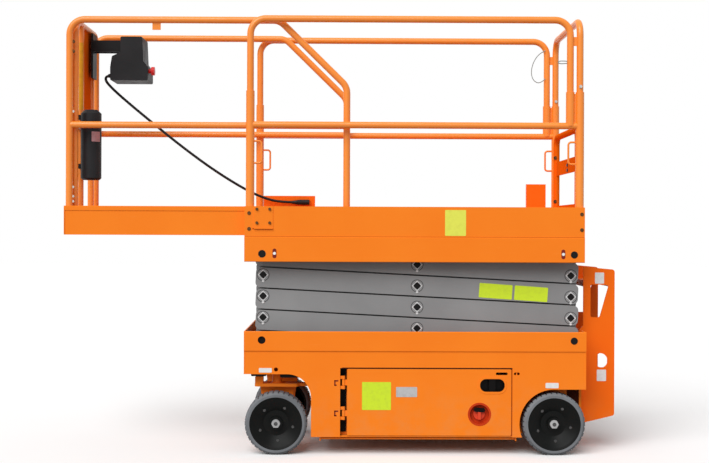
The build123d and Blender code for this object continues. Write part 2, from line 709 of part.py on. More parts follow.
def platform_sides():
    along = (DECK_FRONT, DECK_REAR)
    face = outline(
        (DECK_FRONT, SKIRT_LOW),
        (DECK_REAR, SKIRT_LOW),
        (DECK_REAR, TOE_TOP),
        (DECK_FRONT, TOE_TOP),
    )
    side = plate_xz(pivot_holes(face, PIVOT_TOP), -SKIRT_Y, -SKIRT_IN)
    lip = block(along, (-SKIRT_Y, -SKIRT_Y + TOE_LIP), (TOE_TOP - TOE_T, TOE_TOP))
    for x in (FRONT_POST_X, REAR_POST_X):
        lip -= rod_z(x, -RAIL_Y, SOCKET_R + 0.5, TOE_TOP - 10, TOE_TOP + 10)
    side += lip
    step = block(along, (-SKIRT_Y - SKIRT_STEP, -SKIRT_Y), (SKIRT_LOW, DECK_Z + 2))
    step = chamfer(step.edges().filter_by(Axis.X).group_by(Axis.Y)[0], 0.8 * SKIRT_STEP)
    for x, r in ((PIVOT_REAR, PIN_R + FIT), (PIVOT_FRONT, PIN_R + 2)):
        step -= rod_y(x, PIVOT_TOP, r, -SKIRT_Y - SKIRT_STEP - 1, -SKIRT_Y + 1)
    side += step
    corner = (DECK_FRONT + 47, DECK_FRONT + 140)
    side += block(corner, (-SKIRT_Y - 3, -SKIRT_Y), (TOE_TOP - 107, TOE_TOP))
    side += block(corner, (-SKIRT_Y - 8, -SKIRT_Y), (TOE_TOP - 111, TOE_TOP - 107))
    floor_top = PIVOT_TOP - SLIDE_HIGH / 2 - FIT
    roof_low = PIVOT_TOP + SLIDE_HIGH / 2 + FIT
    shelf = (-SKIRT_IN, -SLIDE_Y[0] - 1)
    side += block(along, shelf, (SKIRT_LOW, floor_top))
    side += block((DECK_FRONT, TRACK_END), shelf, (roof_low, roof_low + 8))
    return both(side)


def deck_pads():
    y = (-EXT_Y + 27, -EXT_Y + 67)
    return both(block((DECK_FRONT, EXT_REAR - 60), y, (DECK_Z, EXT_LOW - FIT)))


def main_sockets():
    y = -RAIL_Y
    result = None
    for x, inward in ((FRONT_POST_X, 1), (REAR_POST_X, -1)):
        grab_x = x + inward * GRAB_OUT
        grab = [(x, y, GRAB_Z[0]), (grab_x, y, GRAB_Z[0]), (grab_x, y, GRAB_Z[1]), (x, y, GRAB_Z[1])]
        post = rod_z(x, y, SOCKET_R, DECK_Z, SOCKET_TOP) + bent_tube(grab, GRAB_BEND, GRAB_R)
        result = post if result is None else result + post
    result += rod_x(y, MID_Z, MID_R, FRONT_POST_X, REAR_POST_X)
    result += rod_z(SIDE_LEG_X, y, SOCKET_R, MID_Z, SOCKET_TOP)
    result += block((SIDE_LEG_X, REAR_POST_X), (y - 5, y + 5), (MID_Z, SOCKET_TOP - 8))
    for x in (FRONT_POST_X, SIDE_LEG_X, REAR_POST_X):
        result -= rod_z(x, y, RAIL_R + FIT, LEG_LOW, SOCKET_TOP)
    result = both(result)
    x = REAR_POST_X
    for z in GATE_HINGE_Z:
        tab_y = (GATE_Y + MID_R + FIT, RAIL_Y - SOCKET_R + 3)
        result += block((x - 10, x + 10), tab_y, (z - 15, z + 15))
    return result


def main_hoops():
    y = -RAIL_Y
    points = [
        (FRONT_POST_X, y, LEG_LOW),
        (FRONT_POST_X, y, RAIL_Z),
        (SIDE_LEG_X, y, RAIL_Z),
        (SIDE_LEG_X, y, LEG_LOW),
    ]
    return both(bent_tube(points, RAIL_BEND, RAIL_R))


def rear_hoop():
    x = REAR_POST_X
    y = RAIL_Y
    points = [(x, -y, LEG_LOW), (x, -y, RAIL_Z), (x, y, RAIL_Z), (x, y, LEG_LOW)]
    brace = block((SIDE_LEG_X, x), (-y - 4, -y + 4), (BRACE_Z - 22, BRACE_Z + 22))
    brace -= rod_z(SIDE_LEG_X, -y, RAIL_R + FIT, BRACE_Z - 30, BRACE_Z + 30)
    return bent_tube(points, RAIL_BEND, RAIL_R) + both(brace)


def entry_gate():
    x = REAR_POST_X
    y = GATE_Y
    points = [(x, -y, GATE_Z[0]), (x, -y, GATE_Z[1]), (x, y, GATE_Z[1]), (x, y, GATE_Z[0])]
    gate = bent_tube(points, GATE_BEND, MID_R)
    gate += block((x - 3, x + 3), (-y, y), GATE_BAND)
    return gate + block((x - 3, x + 3), (-y, y), (DECK_Z + 8, TOE_TOP + 20))


def outlet_box():
    rear = SIDE_LEG_X - 7.0
    return block((rear - OUTLET[0], rear), (GATE_Y + MID_R + 7, SKIRT_Y - 18), (DECK_Z, DECK_Z + OUTLET[1]))


# Extension

def extension_deck():
    return block((EXT_FRONT, EXT_REAR), (-EXT_IN, EXT_IN), (EXT_LOW, EXT_FLOOR))


def extension_toe():
    along = (EXT_FRONT, EXT_REAR)
    toe = block(along, (-EXT_IN - TOE_T, -EXT_IN), (EXT_LOW, TOE_TOP))
    edge = block(along, (-EXT_Y, -EXT_IN - TOE_T), (TOE_TOP - TOE_EDGE, TOE_TOP))
    toe += chamfer(edge.edges().filter_by(Axis.X).group_by(Axis.Y)[0], 0.6 * TOE_STEP)
    return both(toe) + block((EXT_FRONT, EXT_FRONT + TOE_T), (-EXT_Y, EXT_Y), (EXT_FLOOR, TOE_TOP))


def extension_side_rails():
    y = -EXT_RAIL_Y
    points = [
        (EXT_POST_X[0], y, EXT_FLOOR),
        (EXT_POST_X[0], y, RAIL_Z),
        (EXT_POST_X[1] - SLOPE_RUN, y, RAIL_Z),
        (EXT_POST_X[1], y, RAIL_Z - SLOPE_DROP),
        (EXT_POST_X[1], y, EXT_FLOOR),
    ]
    rail = bent_tube(points, RAIL_BEND, RAIL_R)
    rails = both(rail + rod_x(y, MID_Z, MID_R, *EXT_POST_X))
    hang = RAIL_Z - RAIL_R - TAB[1]
    return rails + block((TAB_X, TAB_X + TAB[0]), (y - 3, y + 3), (hang, RAIL_Z))


def extension_front_rail():
    x = FRONT_RAIL_X
    y = FRONT_RAIL_Y
    points = [(x, -y, EXT_FLOOR), (x, -y, RAIL_Z), (x, y, RAIL_Z), (x, y, EXT_FLOOR)]
    rail = bent_tube(points, RAIL_BEND, RAIL_R)
    rail += rod_y(x, MID_Z, MID_R, -y, y)
    for leg in (-FRONT_LEG_Y, FRONT_LEG_Y):
        rail += rod_z(x, leg, MID_R, EXT_FLOOR, RAIL_Z)
    for z in (TIE_LOW_Z, TIE_HIGH_Z):
        tie = block((x - 16, x), (-EXT_RAIL_Y, -y), (z - 15, z + 15))
        tie -= rod_z(EXT_POST_X[0], -EXT_RAIL_Y, RAIL_R, z - 20, z + 20)
        rail += both(tie)
    return rail


def control_box():
    x0, x1 = BOX_X
    body = outline(
        (x0, BOX_LOW),
        (x1, BOX_LOW),
        (x1, BOX_LOW + 72),
        (x1 - 23, BOX_LOW + 100),
        (x1 - 29, BOX_TOP),
        (BOX_NECK, BOX_TOP),
        (BOX_NECK, BOX_LOW + 146),
        (x0 + 9, BOX_LOW + 125),
        (x0, BOX_LOW + 70),
    )
    body = fillet(body.vertices(), 7)
    return plate_xz(body, BOX_Y - BOX_HALF, BOX_Y + BOX_HALF)


def control_bracket():
    x = FRONT_RAIL_X + MID_R + FIT
    edge = FRONT_LEG_Y + MID_R
    plate = block((x, x + 10), (BOX_Y - 20, edge), (BOX_LOW + 20, RAIL_TOP - 31))
    for y in (BOX_Y - 20, BOX_Y + 32):
        plate += block((x + 10, BOX_NECK), (y, y + 8), (BOX_LOW + 156, BOX_LOW + 216))
    return plate


def stop_button():
    x = BOX_X[1]
    z = BOX_LOW + 52.0
    y = BOX_Y - 50.0
    button = rod_x(y, z, 0.55 * STOP_R, x, x + 14)
    return button + rod_x(y, z, STOP_R, x + 14, x + 30)


def manual_canister():
    low, high = CAN_Z
    dome = 18.0
    foot = 9.0
    profile = outline(
        (0, low),
        (CAN_R - foot, low),
        (CAN_R, low + foot),
        (CAN_R, high - dome),
        (CAN_R - dome, high),
        (0, high),
    )
    can = Pos(CAN_X, -CAN_Y, 0) * revolve(Plane.XZ * profile, Axis.Z)
    for z in (low + 70, high - 36):
        clamp = block((FRONT_RAIL_X, CAN_X), (-CAN_Y, -FRONT_LEG_Y + 12), (z - 12, z + 12))
        can += clamp - rod_z(FRONT_RAIL_X, -FRONT_LEG_Y, MID_R + FIT, z - 20, z + 20)
    return can


def cable_box():
    return block(CABLE_BOX_X, CABLE_BOX_Y, (EXT_FLOOR, CABLE_BOX_TOP))


# The cable's route, as shares of the way from the plug to the control box
CABLE_START = (BOX_X[0], BOX_Y, BOX_LOW + 33.0)
CABLE_END = (CABLE_BOX_X[0] + 187.0, CABLE_BOX_Y[0] - 17.0, EXT_FLOOR + 170.0)
CABLE_SHARES = [
    # along, across, up
    (1.0, 1.0, 1.0),
    (1.029, 1.0, 1.0),
    (1.043, 0.99, 0.983),
    (1.036, 0.97, 0.945),
    (0.967, 0.92, 0.845),
    (0.794, 0.76, 0.632),
    (0.627, 0.58, 0.433),
    (0.458, 0.39, 0.251),
    (0.297, 0.21, 0.105),
    (0.196, 0.10, 0.036),
    (0.104, 0.0, 0.0),
    (0.0, 0.0, 0.0),
]


def cable_points():
    span = [a - b for a, b in zip(CABLE_START, CABLE_END)]
    return [tuple(e + s * d for e, s, d in zip(CABLE_END, row, span)) for row in CABLE_SHARES]


def fillet_radii(points):
    radii = []
    for before, here, after in zip(points, points[1:], points[2:]):
        a = Vector(*here) - Vector(*before)
        b = Vector(*after) - Vector(*here)
        turn = math.radians(a.get_angle(b))
        radii.append(0.45 * min(a.length, b.length) / math.tan(turn / 2))
    return radii


def control_cable():
    points = cable_points()
    path = FilletPolyline(*points, radius=fillet_radii(points))
    ring = Plane(origin=path @ 0, z_dir=path % 0) * Circle(CABLE_R)
    return sweep(ring, path=path)


def cable_plug():
    x, y, z = CABLE_END
    plug = rod_x(y, z, PLUG_R, x, x + PLUG_LONG)
    return plug + block((x + 20, x + PLUG_LONG), (y, CABLE_BOX_Y[0]), (z - PLUG_R, z + PLUG_R))


PIECES = {
    "chassis_sides": chassis_sides,
    "chassis_frame": chassis_frame,
    "steer_axle": steer_axle,
    "arm_tracks": arm_tracks,
    "battery_pack": battery_pack,
    "hydraulic_unit": hydraulic_unit,
    "ladder": ladder,
    "door_hinges": door_hinges,
    "door_near": lambda: door(True),
    "door_far": lambda: far_side(door(False)),
    "door_handle_near": door_handle,
    "door_handle_far": lambda: far_side(door_handle()),
    "isolator_cup": isolator_cup,
    "isolator_knob": isolator_knob,
    "guard_near": guard,
    "guard_far": lambda: far_side(guard()),
    "knuckle_near": steer_knuckle,
    "knuckle_far": lambda: far_side(steer_knuckle()),
    "tie_rod": tie_rod,
    "lower_slider": lambda: slider(PIVOT_FRONT, PIVOT_Z),
    "upper_slider": lambda: slider(PIVOT_FRONT, PIVOT_TOP),
    "lift_barrel": lift_barrel,
    "lift_rod": lift_rod,
    "platform_deck": platform_deck,
    "platform_sides": platform_sides,
    "deck_pads": deck_pads,
    "main_sockets": main_sockets,
    "main_hoops": main_hoops,
    "rear_hoop": rear_hoop,
    "entry_gate": entry_gate,
    "outlet_box": outlet_box,
    "extension_deck": extension_deck,
    "extension_toe": extension_toe,
    "extension_side_rails": extension_side_rails,
    "extension_front_rail": extension_front_rail,
    "control_box": control_box,
    "control_bracket": control_bracket,
    "stop_button": stop_button,
    "manual_canister": manual_canister,
    "cable_box": cable_box,
    "cable_plug": cable_plug,
    "control_cable": control_cable,
}

WHEELS = [
    # name, axle, side
    ("front_near", FRONT_AXLE, -1),
    ("front_far", FRONT_AXLE, 1),
    ("rear_near", REAR_AXLE, -1),
    ("rear_far", REAR_AXLE, 1),
]


def write(name, shape):
    export_step(Pos(FRAME_X, 0, 0) * shape, f"parts/{name}.step")


def main():
    for name, make in PIECES.items():
        write(name, make())
    for stage in range(1, STAGES + 1):
        write(f"outer_arm_{stage}", outer_arm(stage))
        write(f"inner_arm_{stage}", inner_arm(stage))
    for name, axle_x, side in WHEELS:
        write(f"rim_{name}", wheel_rim(axle_x, side))
        write(f"tyre_{name}", wheel_tyre(axle_x, side))


if __name__ == "__main__":
    main()
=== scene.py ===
import json
import math

import bmesh
import bpy
from mathutils import Matrix, Vector


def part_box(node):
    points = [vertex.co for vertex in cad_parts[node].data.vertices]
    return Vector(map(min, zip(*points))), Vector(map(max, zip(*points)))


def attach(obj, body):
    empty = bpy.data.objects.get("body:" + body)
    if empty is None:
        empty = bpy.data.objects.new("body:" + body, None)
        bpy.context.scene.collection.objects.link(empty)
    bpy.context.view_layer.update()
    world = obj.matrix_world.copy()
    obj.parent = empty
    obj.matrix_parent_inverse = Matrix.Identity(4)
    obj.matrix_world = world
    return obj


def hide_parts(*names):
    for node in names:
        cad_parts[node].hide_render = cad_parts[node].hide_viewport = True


# Self-propelled scissor lift, dressed over its CAD solids, in metres.
# +X runs towards the ladder, the photograph looks along +Y, Z is up.

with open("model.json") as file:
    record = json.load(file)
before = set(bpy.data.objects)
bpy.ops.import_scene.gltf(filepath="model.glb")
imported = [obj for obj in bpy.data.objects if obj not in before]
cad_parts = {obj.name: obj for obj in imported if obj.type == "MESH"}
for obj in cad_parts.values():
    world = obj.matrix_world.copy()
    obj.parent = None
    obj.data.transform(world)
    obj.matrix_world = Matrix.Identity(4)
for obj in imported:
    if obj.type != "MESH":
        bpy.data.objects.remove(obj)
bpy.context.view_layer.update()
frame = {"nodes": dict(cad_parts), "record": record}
nodes = frame["nodes"]

# Camera of the photograph
PHOTO_WIDE = 709
CAMERA_FROM_MIDDLE = Vector((-0.3503, -6.2167, 1.1075))
CAMERA_YAW = math.radians(-0.486)
CAMERA_PITCH = math.radians(-0.124)
CAMERA_ROLL = math.radians(0.221)
FOCAL_PX = 1193.6
SENSOR = 36.0

# Places read from the solids
CHASSIS_LOW, CHASSIS_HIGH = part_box("chassis_sides")
DECK_LOW, DECK_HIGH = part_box("platform_deck")
EXT_LOW, EXT_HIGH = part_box("extension_deck")
BOX_LOW, BOX_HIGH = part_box("control_box")
PLUG_LOW, PLUG_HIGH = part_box("cable_plug")
MIDDLE_X = (CHASSIS_LOW.x + CHASSIS_HIGH.x) / 2 + 0.001

# Near faces; the far ones are their mirrors
TOE_FACE = DECK_LOW.y - 0.006
SKIRT_FACE = DECK_LOW.y - 0.009
BAND_FACE = CHASSIS_LOW.y
WALL_FACE = CHASSIS_LOW.y + 0.005
CORNER_PLATE_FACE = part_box("platform_sides")[0].y
OUTER_ARM_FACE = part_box("outer_arm_2")[0].y
INNER_ARM_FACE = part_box("inner_arm_1")[0].y
LADDER_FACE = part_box("ladder")[0].y
DOOR_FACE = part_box("door_near")[0].y
SOCKET_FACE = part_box("main_sockets")[0].y
FRONT_RAIL_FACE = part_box("extension_front_rail")[0].y

# Pivots of the scissor stack, and the way from the middle of an outer arm to its rear pivot
REAR_PIVOT = MIDDLE_X + 0.778
FRONT_PIVOT = MIDDLE_X - 0.753
LOW_PIVOT_Z = 0.562
TOP_PIVOT_Z = 0.984
ARM_REACH = Vector((0.7655, 0.0, -0.05275))

WHEELS = ("front_near", "front_far", "rear_near", "rear_far")
SIDES = (("near", 1.0), ("far", -1.0))


def from_middle(first, last):
    """A stretch along the machine, measured from the middle of its chassis."""
    return (MIDDLE_X + first, MIDDLE_X + last)


def photo_camera():
    data = bpy.data.cameras.new("photo_camera")
    data.sensor_width = SENSOR
    data.lens = FOCAL_PX * SENSOR / PHOTO_WIDE
    camera = bpy.data.objects.new("photo_camera", data)
    right = Vector((math.cos(CAMERA_YAW), math.sin(CAMERA_YAW), 0.0))
    level = Vector((-math.sin(CAMERA_YAW), math.cos(CAMERA_YAW), 0.0))
    ahead = level * math.cos(CAMERA_PITCH) + Vector((0.0, 0.0, math.sin(CAMERA_PITCH)))
    up = right.cross(ahead)
    side = right * math.cos(CAMERA_ROLL) + up * math.sin(CAMERA_ROLL)
    top = up * math.cos(CAMERA_ROLL) - right * math.sin(CAMERA_ROLL)
    turn = Matrix((side, top, -ahead)).transposed().to_4x4()
    place = CAMERA_FROM_MIDDLE + Vector((MIDDLE_X, 0.0, 0.0))
    camera.matrix_world = Matrix.Translation(place) @ turn
    bpy.context.scene.collection.objects.link(camera)
    bpy.context.scene.camera = camera


# Material building blocks

def blank_material(name):
    material = bpy.data.materials.new(name)
    material.use_nodes = True
    tree = material.node_tree
    return material, tree, tree.nodes["Principled BSDF"]


def add(tree, kind, values=None, **settings):
    node = tree.nodes.new(kind)
    for key, value in settings.items():
        setattr(node, key, value)
    for key, value in (values or {}).items():
        node.inputs[key].default_value = value
    return node


def place_on_object(tree):
    return add(tree, "ShaderNodeTexCoord").outputs["Object"]


def noise(tree, where, scale, detail=3.0, rough=0.55):
    node = add(tree, "ShaderNodeTexNoise", {"Scale": scale, "Detail": detail, "Roughness": rough})
    tree.links.new(where, node.inputs["Vector"])
    return node.outputs["Fac"]


def spread(tree, value, low, high, from_low=0.3, from_high=0.7):
    node = add(tree, "ShaderNodeMapRange")
    node.inputs["From Min"].default_value = from_low
    node.inputs["From Max"].default_value = from_high
    node.inputs["To Min"].default_value = low
    node.inputs["To Max"].default_value = high
    tree.links.new(value, node.inputs["Value"])
    return node.outputs["Result"]


def multiply(tree, a, b):
    node = add(tree, "ShaderNodeMath", operation="MULTIPLY")
    tree.links.new(a, node.inputs[0])
    tree.links.new(b, node.inputs[1])
    return node.outputs[0]


def blend_colours(tree, share, first, second):
    """Mixes two colours, each a colour or a socket."""
    node = add(tree, "ShaderNodeMix", data_type="RGBA")
    tree.links.new(share, node.inputs[0])
    for slot, colour in ((6, first), (7, second)):
        if isinstance(colour, tuple):
            node.inputs[slot].default_value = (*colour, 1.0)
        else:
            tree.links.new(colour, node.inputs[slot])
    return node.outputs[2]


def bumps(tree, shader, height, strength, depth):
    node = add(tree, "ShaderNodeBump", {"Strength": strength, "Distance": depth})
    tree.links.new(height, node.inputs["Height"])
    tree.links.new(node.outputs["Normal"], shader.inputs["Normal"])


def floor_dust(tree, where, top):
    """More near the ground, broken up by noise."""
    split = add(tree, "ShaderNodeSeparateXYZ")
    tree.links.new(where, split.inputs[0])
    near_floor = spread(tree, split.outputs["Z"], 1.0, 0.0, 0.0, top)
    patches = spread(tree, noise(tree, where, 14.0, 5.0, 0.65), 0.0, 0.5, 0.42, 0.72)
    return multiply(tree, near_floor, patches)


def scuffs(tree, where):
    """Fine scratches that run along the machine."""
    lines = add(tree, "ShaderNodeMapping")
    lines.inputs["Scale"].default_value = (3.0, 40.0, 60.0)
    tree.links.new(where, lines.inputs["Vector"])
    return spread(tree, noise(tree, lines.outputs["Vector"], 4.0, 4.0, 0.7), 0.0, 0.4, 0.62, 0.78)


def sprayed_paint(name, light, dark, dust, scratch, rough, gloss, dust_top):
    """Sprayed paint: slow colour drift, scratches, orange peel, dust low down."""
    material, tree, shader = blank_material(name)
    where = place_on_object(tree)
    drift = spread(tree, noise(tree, where, 2.6), 0.0, 1.0)
    colour = blend_colours(tree, drift, dark, light)
    colour = blend_colours(tree, scuffs(tree, where), colour, scratch)
    colour = blend_colours(tree, floor_dust(tree, where, dust_top), colour, dust)
    tree.links.new(colour, shader.inputs["Base Color"])
    sheen = spread(tree, noise(tree, where, 9.0, 4.0), rough - 0.06, rough + 0.08)
    tree.links.new(sheen, shader.inputs["Roughness"])
    bumps(tree, shader, noise(tree, where, 420.0, 2.0), 0.05, 0.0004)
    shader.inputs["Specular IOR Level"].default_value = gloss
    return material


def moulded(name, light, dark, rough, gloss, grain, depth):
    """Moulded plastic or rubber with a fine grain."""
    material, tree, shader = blank_material(name)
    where = place_on_object(tree)
    drift = spread(tree, noise(tree, where, 7.0, 4.0), 0.0, 1.0)
    tree.links.new(blend_colours(tree, drift, dark, light), shader.inputs["Base Color"])
    sheen = spread(tree, noise(tree, where, 22.0, 4.0), rough - 0.08, rough + 0.08)
    tree.links.new(sheen, shader.inputs["Roughness"])
    bumps(tree, shader, noise(tree, where, grain, 2.0), 0.12, depth)
    shader.inputs["Specular IOR Level"].default_value = gloss
    return material


def bare_metal(name, light, dark, rough, stretch):
    """Metal with fine lines along one direction."""
    material, tree, shader = blank_material(name)
    where = place_on_object(tree)
    lines = add(tree, "ShaderNodeMapping")
    lines.inputs["Scale"].default_value = stretch
    tree.links.new(where, lines.inputs["Vector"])
    streak = noise(tree, lines.outputs["Vector"], 60.0, 3.0)
    tree.links.new(
        blend_colours(tree, spread(tree, streak, 0.0, 1.0), dark, light), shader.inputs["Base Color"]
    )
    tree.links.new(spread(tree, streak, rough - 0.05, rough + 0.1), shader.inputs["Roughness"])
    shader.inputs["Metallic"].default_value = 1.0
    bumps(tree, shader, streak, 0.05, 0.0003)
    return material


def printed_film(name, light, dark):
    """A bare plate or film, slightly worn."""
    material, tree, shader = blank_material(name)
    where = place_on_object(tree)
    wear = spread(tree, noise(tree, where, 55.0, 5.0), 0.0, 1.0, 0.45, 0.75)
    tree.links.new(blend_colours(tree, wear, light, dark), shader.inputs["Base Color"])
    tree.links.new(spread(tree, wear, 0.35, 0.55, 0.0, 1.0), shader.inputs["Roughness"])
    shader.inputs["Specular IOR Level"].default_value = 0.25
    return material


# Paints: light and dark tone, dust, scratches
ORANGE = sprayed_paint(
    "orange_paint", (0.98, 0.24, 0.016), (0.95, 0.216, 0.013), (0.76, 0.3, 0.1), (0.97, 0.3, 0.06),
    rough=0.4, gloss=0.12, dust_top=0.4,
)
# A lighter copy of the orange paint for the tubes: the lighter colour is painted highlight, the higher gloss is real.
RAIL_ORANGE_LIT = sprayed_paint(
    "rail_orange_paint_with_highlight", (0.96, 0.285, 0.03), (0.93, 0.255, 0.024), (0.76, 0.32, 0.12), (0.96, 0.36, 0.1),
    rough=0.3, gloss=0.5, dust_top=0.4,
)
DEEP_ORANGE = sprayed_paint(
    "deep_orange_paint", (0.98, 0.165, 0.006), (0.95, 0.14, 0.004), (0.74, 0.22, 0.06), (0.94, 0.2, 0.03),
    rough=0.42, gloss=0.12, dust_top=0.3,
)
GATE_ORANGE = sprayed_paint(
    "gate_orange_paint", (0.9, 0.15, 0.006), (0.82, 0.125, 0.004), (0.7, 0.22, 0.06), (0.9, 0.2, 0.03),
    rough=0.6, gloss=0.0, dust_top=0.3,
)
# Dark orange for thin lines of painted shade in creases and gaps.
SHADE_LINE_ORANGE = sprayed_paint(
    "shade_line_orange_paint", (0.5, 0.07, 0.003), (0.42, 0.055, 0.002), (0.4, 0.1, 0.03), (0.55, 0.1, 0.01),
    rough=0.5, gloss=0.1, dust_top=0.3,
)
GREY_ARMS = sprayed_paint(
    "grey_arm_paint", (0.285, 0.285, 0.287), (0.235, 0.235, 0.237), (0.28, 0.26, 0.235), (0.36, 0.36, 0.36),
    rough=0.45, gloss=0.25, dust_top=0.3,
)
# Black paint; also used for plates of painted shade under the front of the chassis.
BLACK_PAINT_AND_SHADE = sprayed_paint(
    "black_paint", (0.008, 0.008, 0.009), (0.005, 0.005, 0.005), (0.03, 0.026, 0.024), (0.02, 0.02, 0.02),
    rough=0.45, gloss=0.15, dust_top=0.3,
)
RIM_BLACK = sprayed_paint(
    "rim_black", (0.004, 0.0048, 0.0046), (0.0025, 0.003, 0.0028), (0.014, 0.012, 0.011), (0.008, 0.008, 0.008),
    rough=0.36, gloss=0.1, dust_top=0.3,
)

# Plastics and rubber: light and dark tone, roughness, gloss, grain and its depth
TYRE_GREY = moulded("grey_rubber", (0.2, 0.21, 0.225), (0.14, 0.147, 0.158), 0.75, 0.2, 260.0, 0.0008)
BLACK_PLASTIC = moulded("black_plastic", (0.016, 0.0155, 0.017), (0.01, 0.01, 0.011), 0.5, 0.18, 700.0, 0.0004)
# Black for the door handles; also used for plates of painted shade.
BLACK_HANDLE_AND_SHADE = moulded("handle_and_shade_black", (0.005, 0.004, 0.004), (0.003, 0.0026, 0.0024), 0.5, 0.08, 700.0, 0.0004)
LOCK_GREY = moulded("lock_grey", (0.8, 0.8, 0.8), (0.66, 0.66, 0.66), 0.4, 0.2, 500.0, 0.0002)
NUT_GREY = moulded("nut_grey", (0.5, 0.5, 0.5), (0.36, 0.36, 0.36), 0.4, 0.2, 500.0, 0.0002)
# Dark maroon for plates and lines of painted shade.
SHADE_MAROON = moulded("painted_shade_maroon", (0.06, 0.012, 0.006), (0.04, 0.008, 0.004), 0.8, 0.05, 300.0, 0.0006)
WIRE_GREY = moulded("wire_sheath", (0.34, 0.37, 0.35), (0.27, 0.29, 0.28), 0.5, 0.3, 900.0, 0.0002)
CABLE_BLACK = moulded("cable_black", (0.01, 0.01, 0.011), (0.005, 0.005, 0.006), 0.5, 0.25, 900.0, 0.0003)
BATTERY_BLACK = moulded("battery_case", (0.022, 0.022, 0.025), (0.013, 0.013, 0.015), 0.6, 0.25, 500.0, 0.0005)
SLIDE_WHITE = moulded("slide_white", (0.72, 0.71, 0.67), (0.62, 0.61, 0.57), 0.5, 0.3, 500.0, 0.0004)
STOP_RED = moulded("stop_red", (0.72, 0.03, 0.03), (0.62, 0.02, 0.02), 0.4, 0.25, 800.0, 0.0002)
CUP_RED = moulded("cup_red", (0.62, 0.05, 0.008), (0.5, 0.036, 0.006), 0.45, 0.1, 600.0, 0.0003)
KNOB_RED = moulded("knob_red", (0.78, 0.07, 0.025), (0.68, 0.055, 0.02), 0.4, 0.2, 600.0, 0.0003)
PIN_BLACK = moulded("pin_cap_black", (0.009, 0.008, 0.008), (0.005, 0.005, 0.005), 0.55, 0.12, 600.0, 0.0003)

# Metals: light and dark tone, roughness, stretch of the lines
STEEL = bare_metal("zinc_steel", (0.62, 0.61, 0.58), (0.45, 0.44, 0.42), 0.34, (1.0, 1.0, 12.0))
BRIGHT_STEEL = bare_metal("bright_steel", (0.85, 0.85, 0.84), (0.7, 0.7, 0.69), 0.3, (1.0, 1.0, 8.0))
BRASS = bare_metal("yellow_zinc", (0.14, 0.07, 0.03), (0.07, 0.033, 0.015), 0.4, (1.0, 1.0, 8.0))
CHROME = bare_metal("chrome_rod", (0.82, 0.82, 0.83), (0.74, 0.74, 0.76), 0.12, (0.2, 18.0, 18.0))
DARK_STEEL = bare_metal("dark_steel", (0.1, 0.1, 0.1), (0.05, 0.05, 0.05), 0.45, (1.0, 1.0, 6.0))

# Films: clean and worn tone
PLATE_WHITE = printed_film("plate_white", (0.8, 0.8, 0.8), (0.7, 0.7, 0.69))
PLATE_YELLOW = printed_film("plate_yellow", (0.63, 0.82, 0.03), (0.57, 0.74, 0.035))
PLATE_PALE = printed_film("plate_pale_yellow", (0.78, 0.8, 0.1), (0.72, 0.73, 0.09))
PLATE_AMBER = printed_film("plate_amber", (0.78, 0.36, 0.012), (0.66, 0.29, 0.01))
PLATE_ROSE = printed_film("plate_rose", (0.5, 0.25, 0.26), (0.4, 0.2, 0.21))
PLATE_SILVER = printed_film("plate_silver", (0.52, 0.52, 0.52), (0.42, 0.42, 0.42))
# Dark red film for the hinge marks; on the lock slots it is painted shade inside the slot.
SLOT_RED = printed_film("slot_red", (0.2, 0.012, 0.006), (0.13, 0.008, 0.004))

NODE_FINISH = {
    "orange_paint": ORANGE,
    "grey_paint": GREY_ARMS,
    "black_paint": BLACK_PAINT_AND_SHADE,
    "steel": STEEL,
    "chrome": CHROME,
    "grey_rubber": TYRE_GREY,
    "black_plastic": BLACK_PLASTIC,
    "white_plastic": SLIDE_WHITE,
    "red_plastic": STOP_RED,
    "battery_case": BATTERY_BLACK,
}

RAILS = ("main_hoops", "main_sockets", "rear_hoop", "extension_side_rails", "extension_front_rail")
OWN_FINISH = {
    "ladder": DEEP_ORANGE,
    "outlet_box": DEEP_ORANGE,
    "cable_box": DEEP_ORANGE,
    "entry_gate": GATE_ORANGE,
    "door_handle_near": BLACK_HANDLE_AND_SHADE,
    "door_handle_far": BLACK_HANDLE_AND_SHADE,
    "isolator_cup": CUP_RED,
    "isolator_knob": KNOB_RED,
    **{rail: RAIL_ORANGE_LIT for rail in RAILS},
    **{f"rim_{wheel}": RIM_BLACK for wheel in WHEELS},
}


def finish_nodes():
    for row in frame["record"]["subparts"]:
        materials = nodes[row["node"]].data.materials
        materials.clear()
        materials.append(OWN_FINISH.get(row["node"], NODE_FINISH[row["material_slot"]]))


# Geometry node patterns

def socket(tree, name, kind, default=None):
    made = tree.interface.new_socket(name, in_out="INPUT", socket_type=kind)
    if default is not None:
        made.default_value = default
    return made


def geometry_tree(name):
    tree = bpy.data.node_groups.new(name, "GeometryNodeTree")
    socket(tree, "Points", "NodeSocketGeometry")
    tree.interface.new_socket("Pattern", in_out="OUTPUT", socket_type="NodeSocketGeometry")
    return tree, tree.nodes.new("NodeGroupInput"), tree.nodes.new("NodeGroupOutput")


def end_tree(tree, given, result, instances):
    """Realizes the copies and gives them their finish."""
    real = add(tree, "GeometryNodeRealizeInstances")
    tree.links.new(instances, real.inputs[0])
    paint = add(tree, "GeometryNodeSetMaterial")
    tree.links.new(real.outputs[0], paint.inputs["Geometry"])
    tree.links.new(given.outputs["Finish"], paint.inputs["Material"])
    tree.links.new(paint.outputs[0], result.inputs["Pattern"])


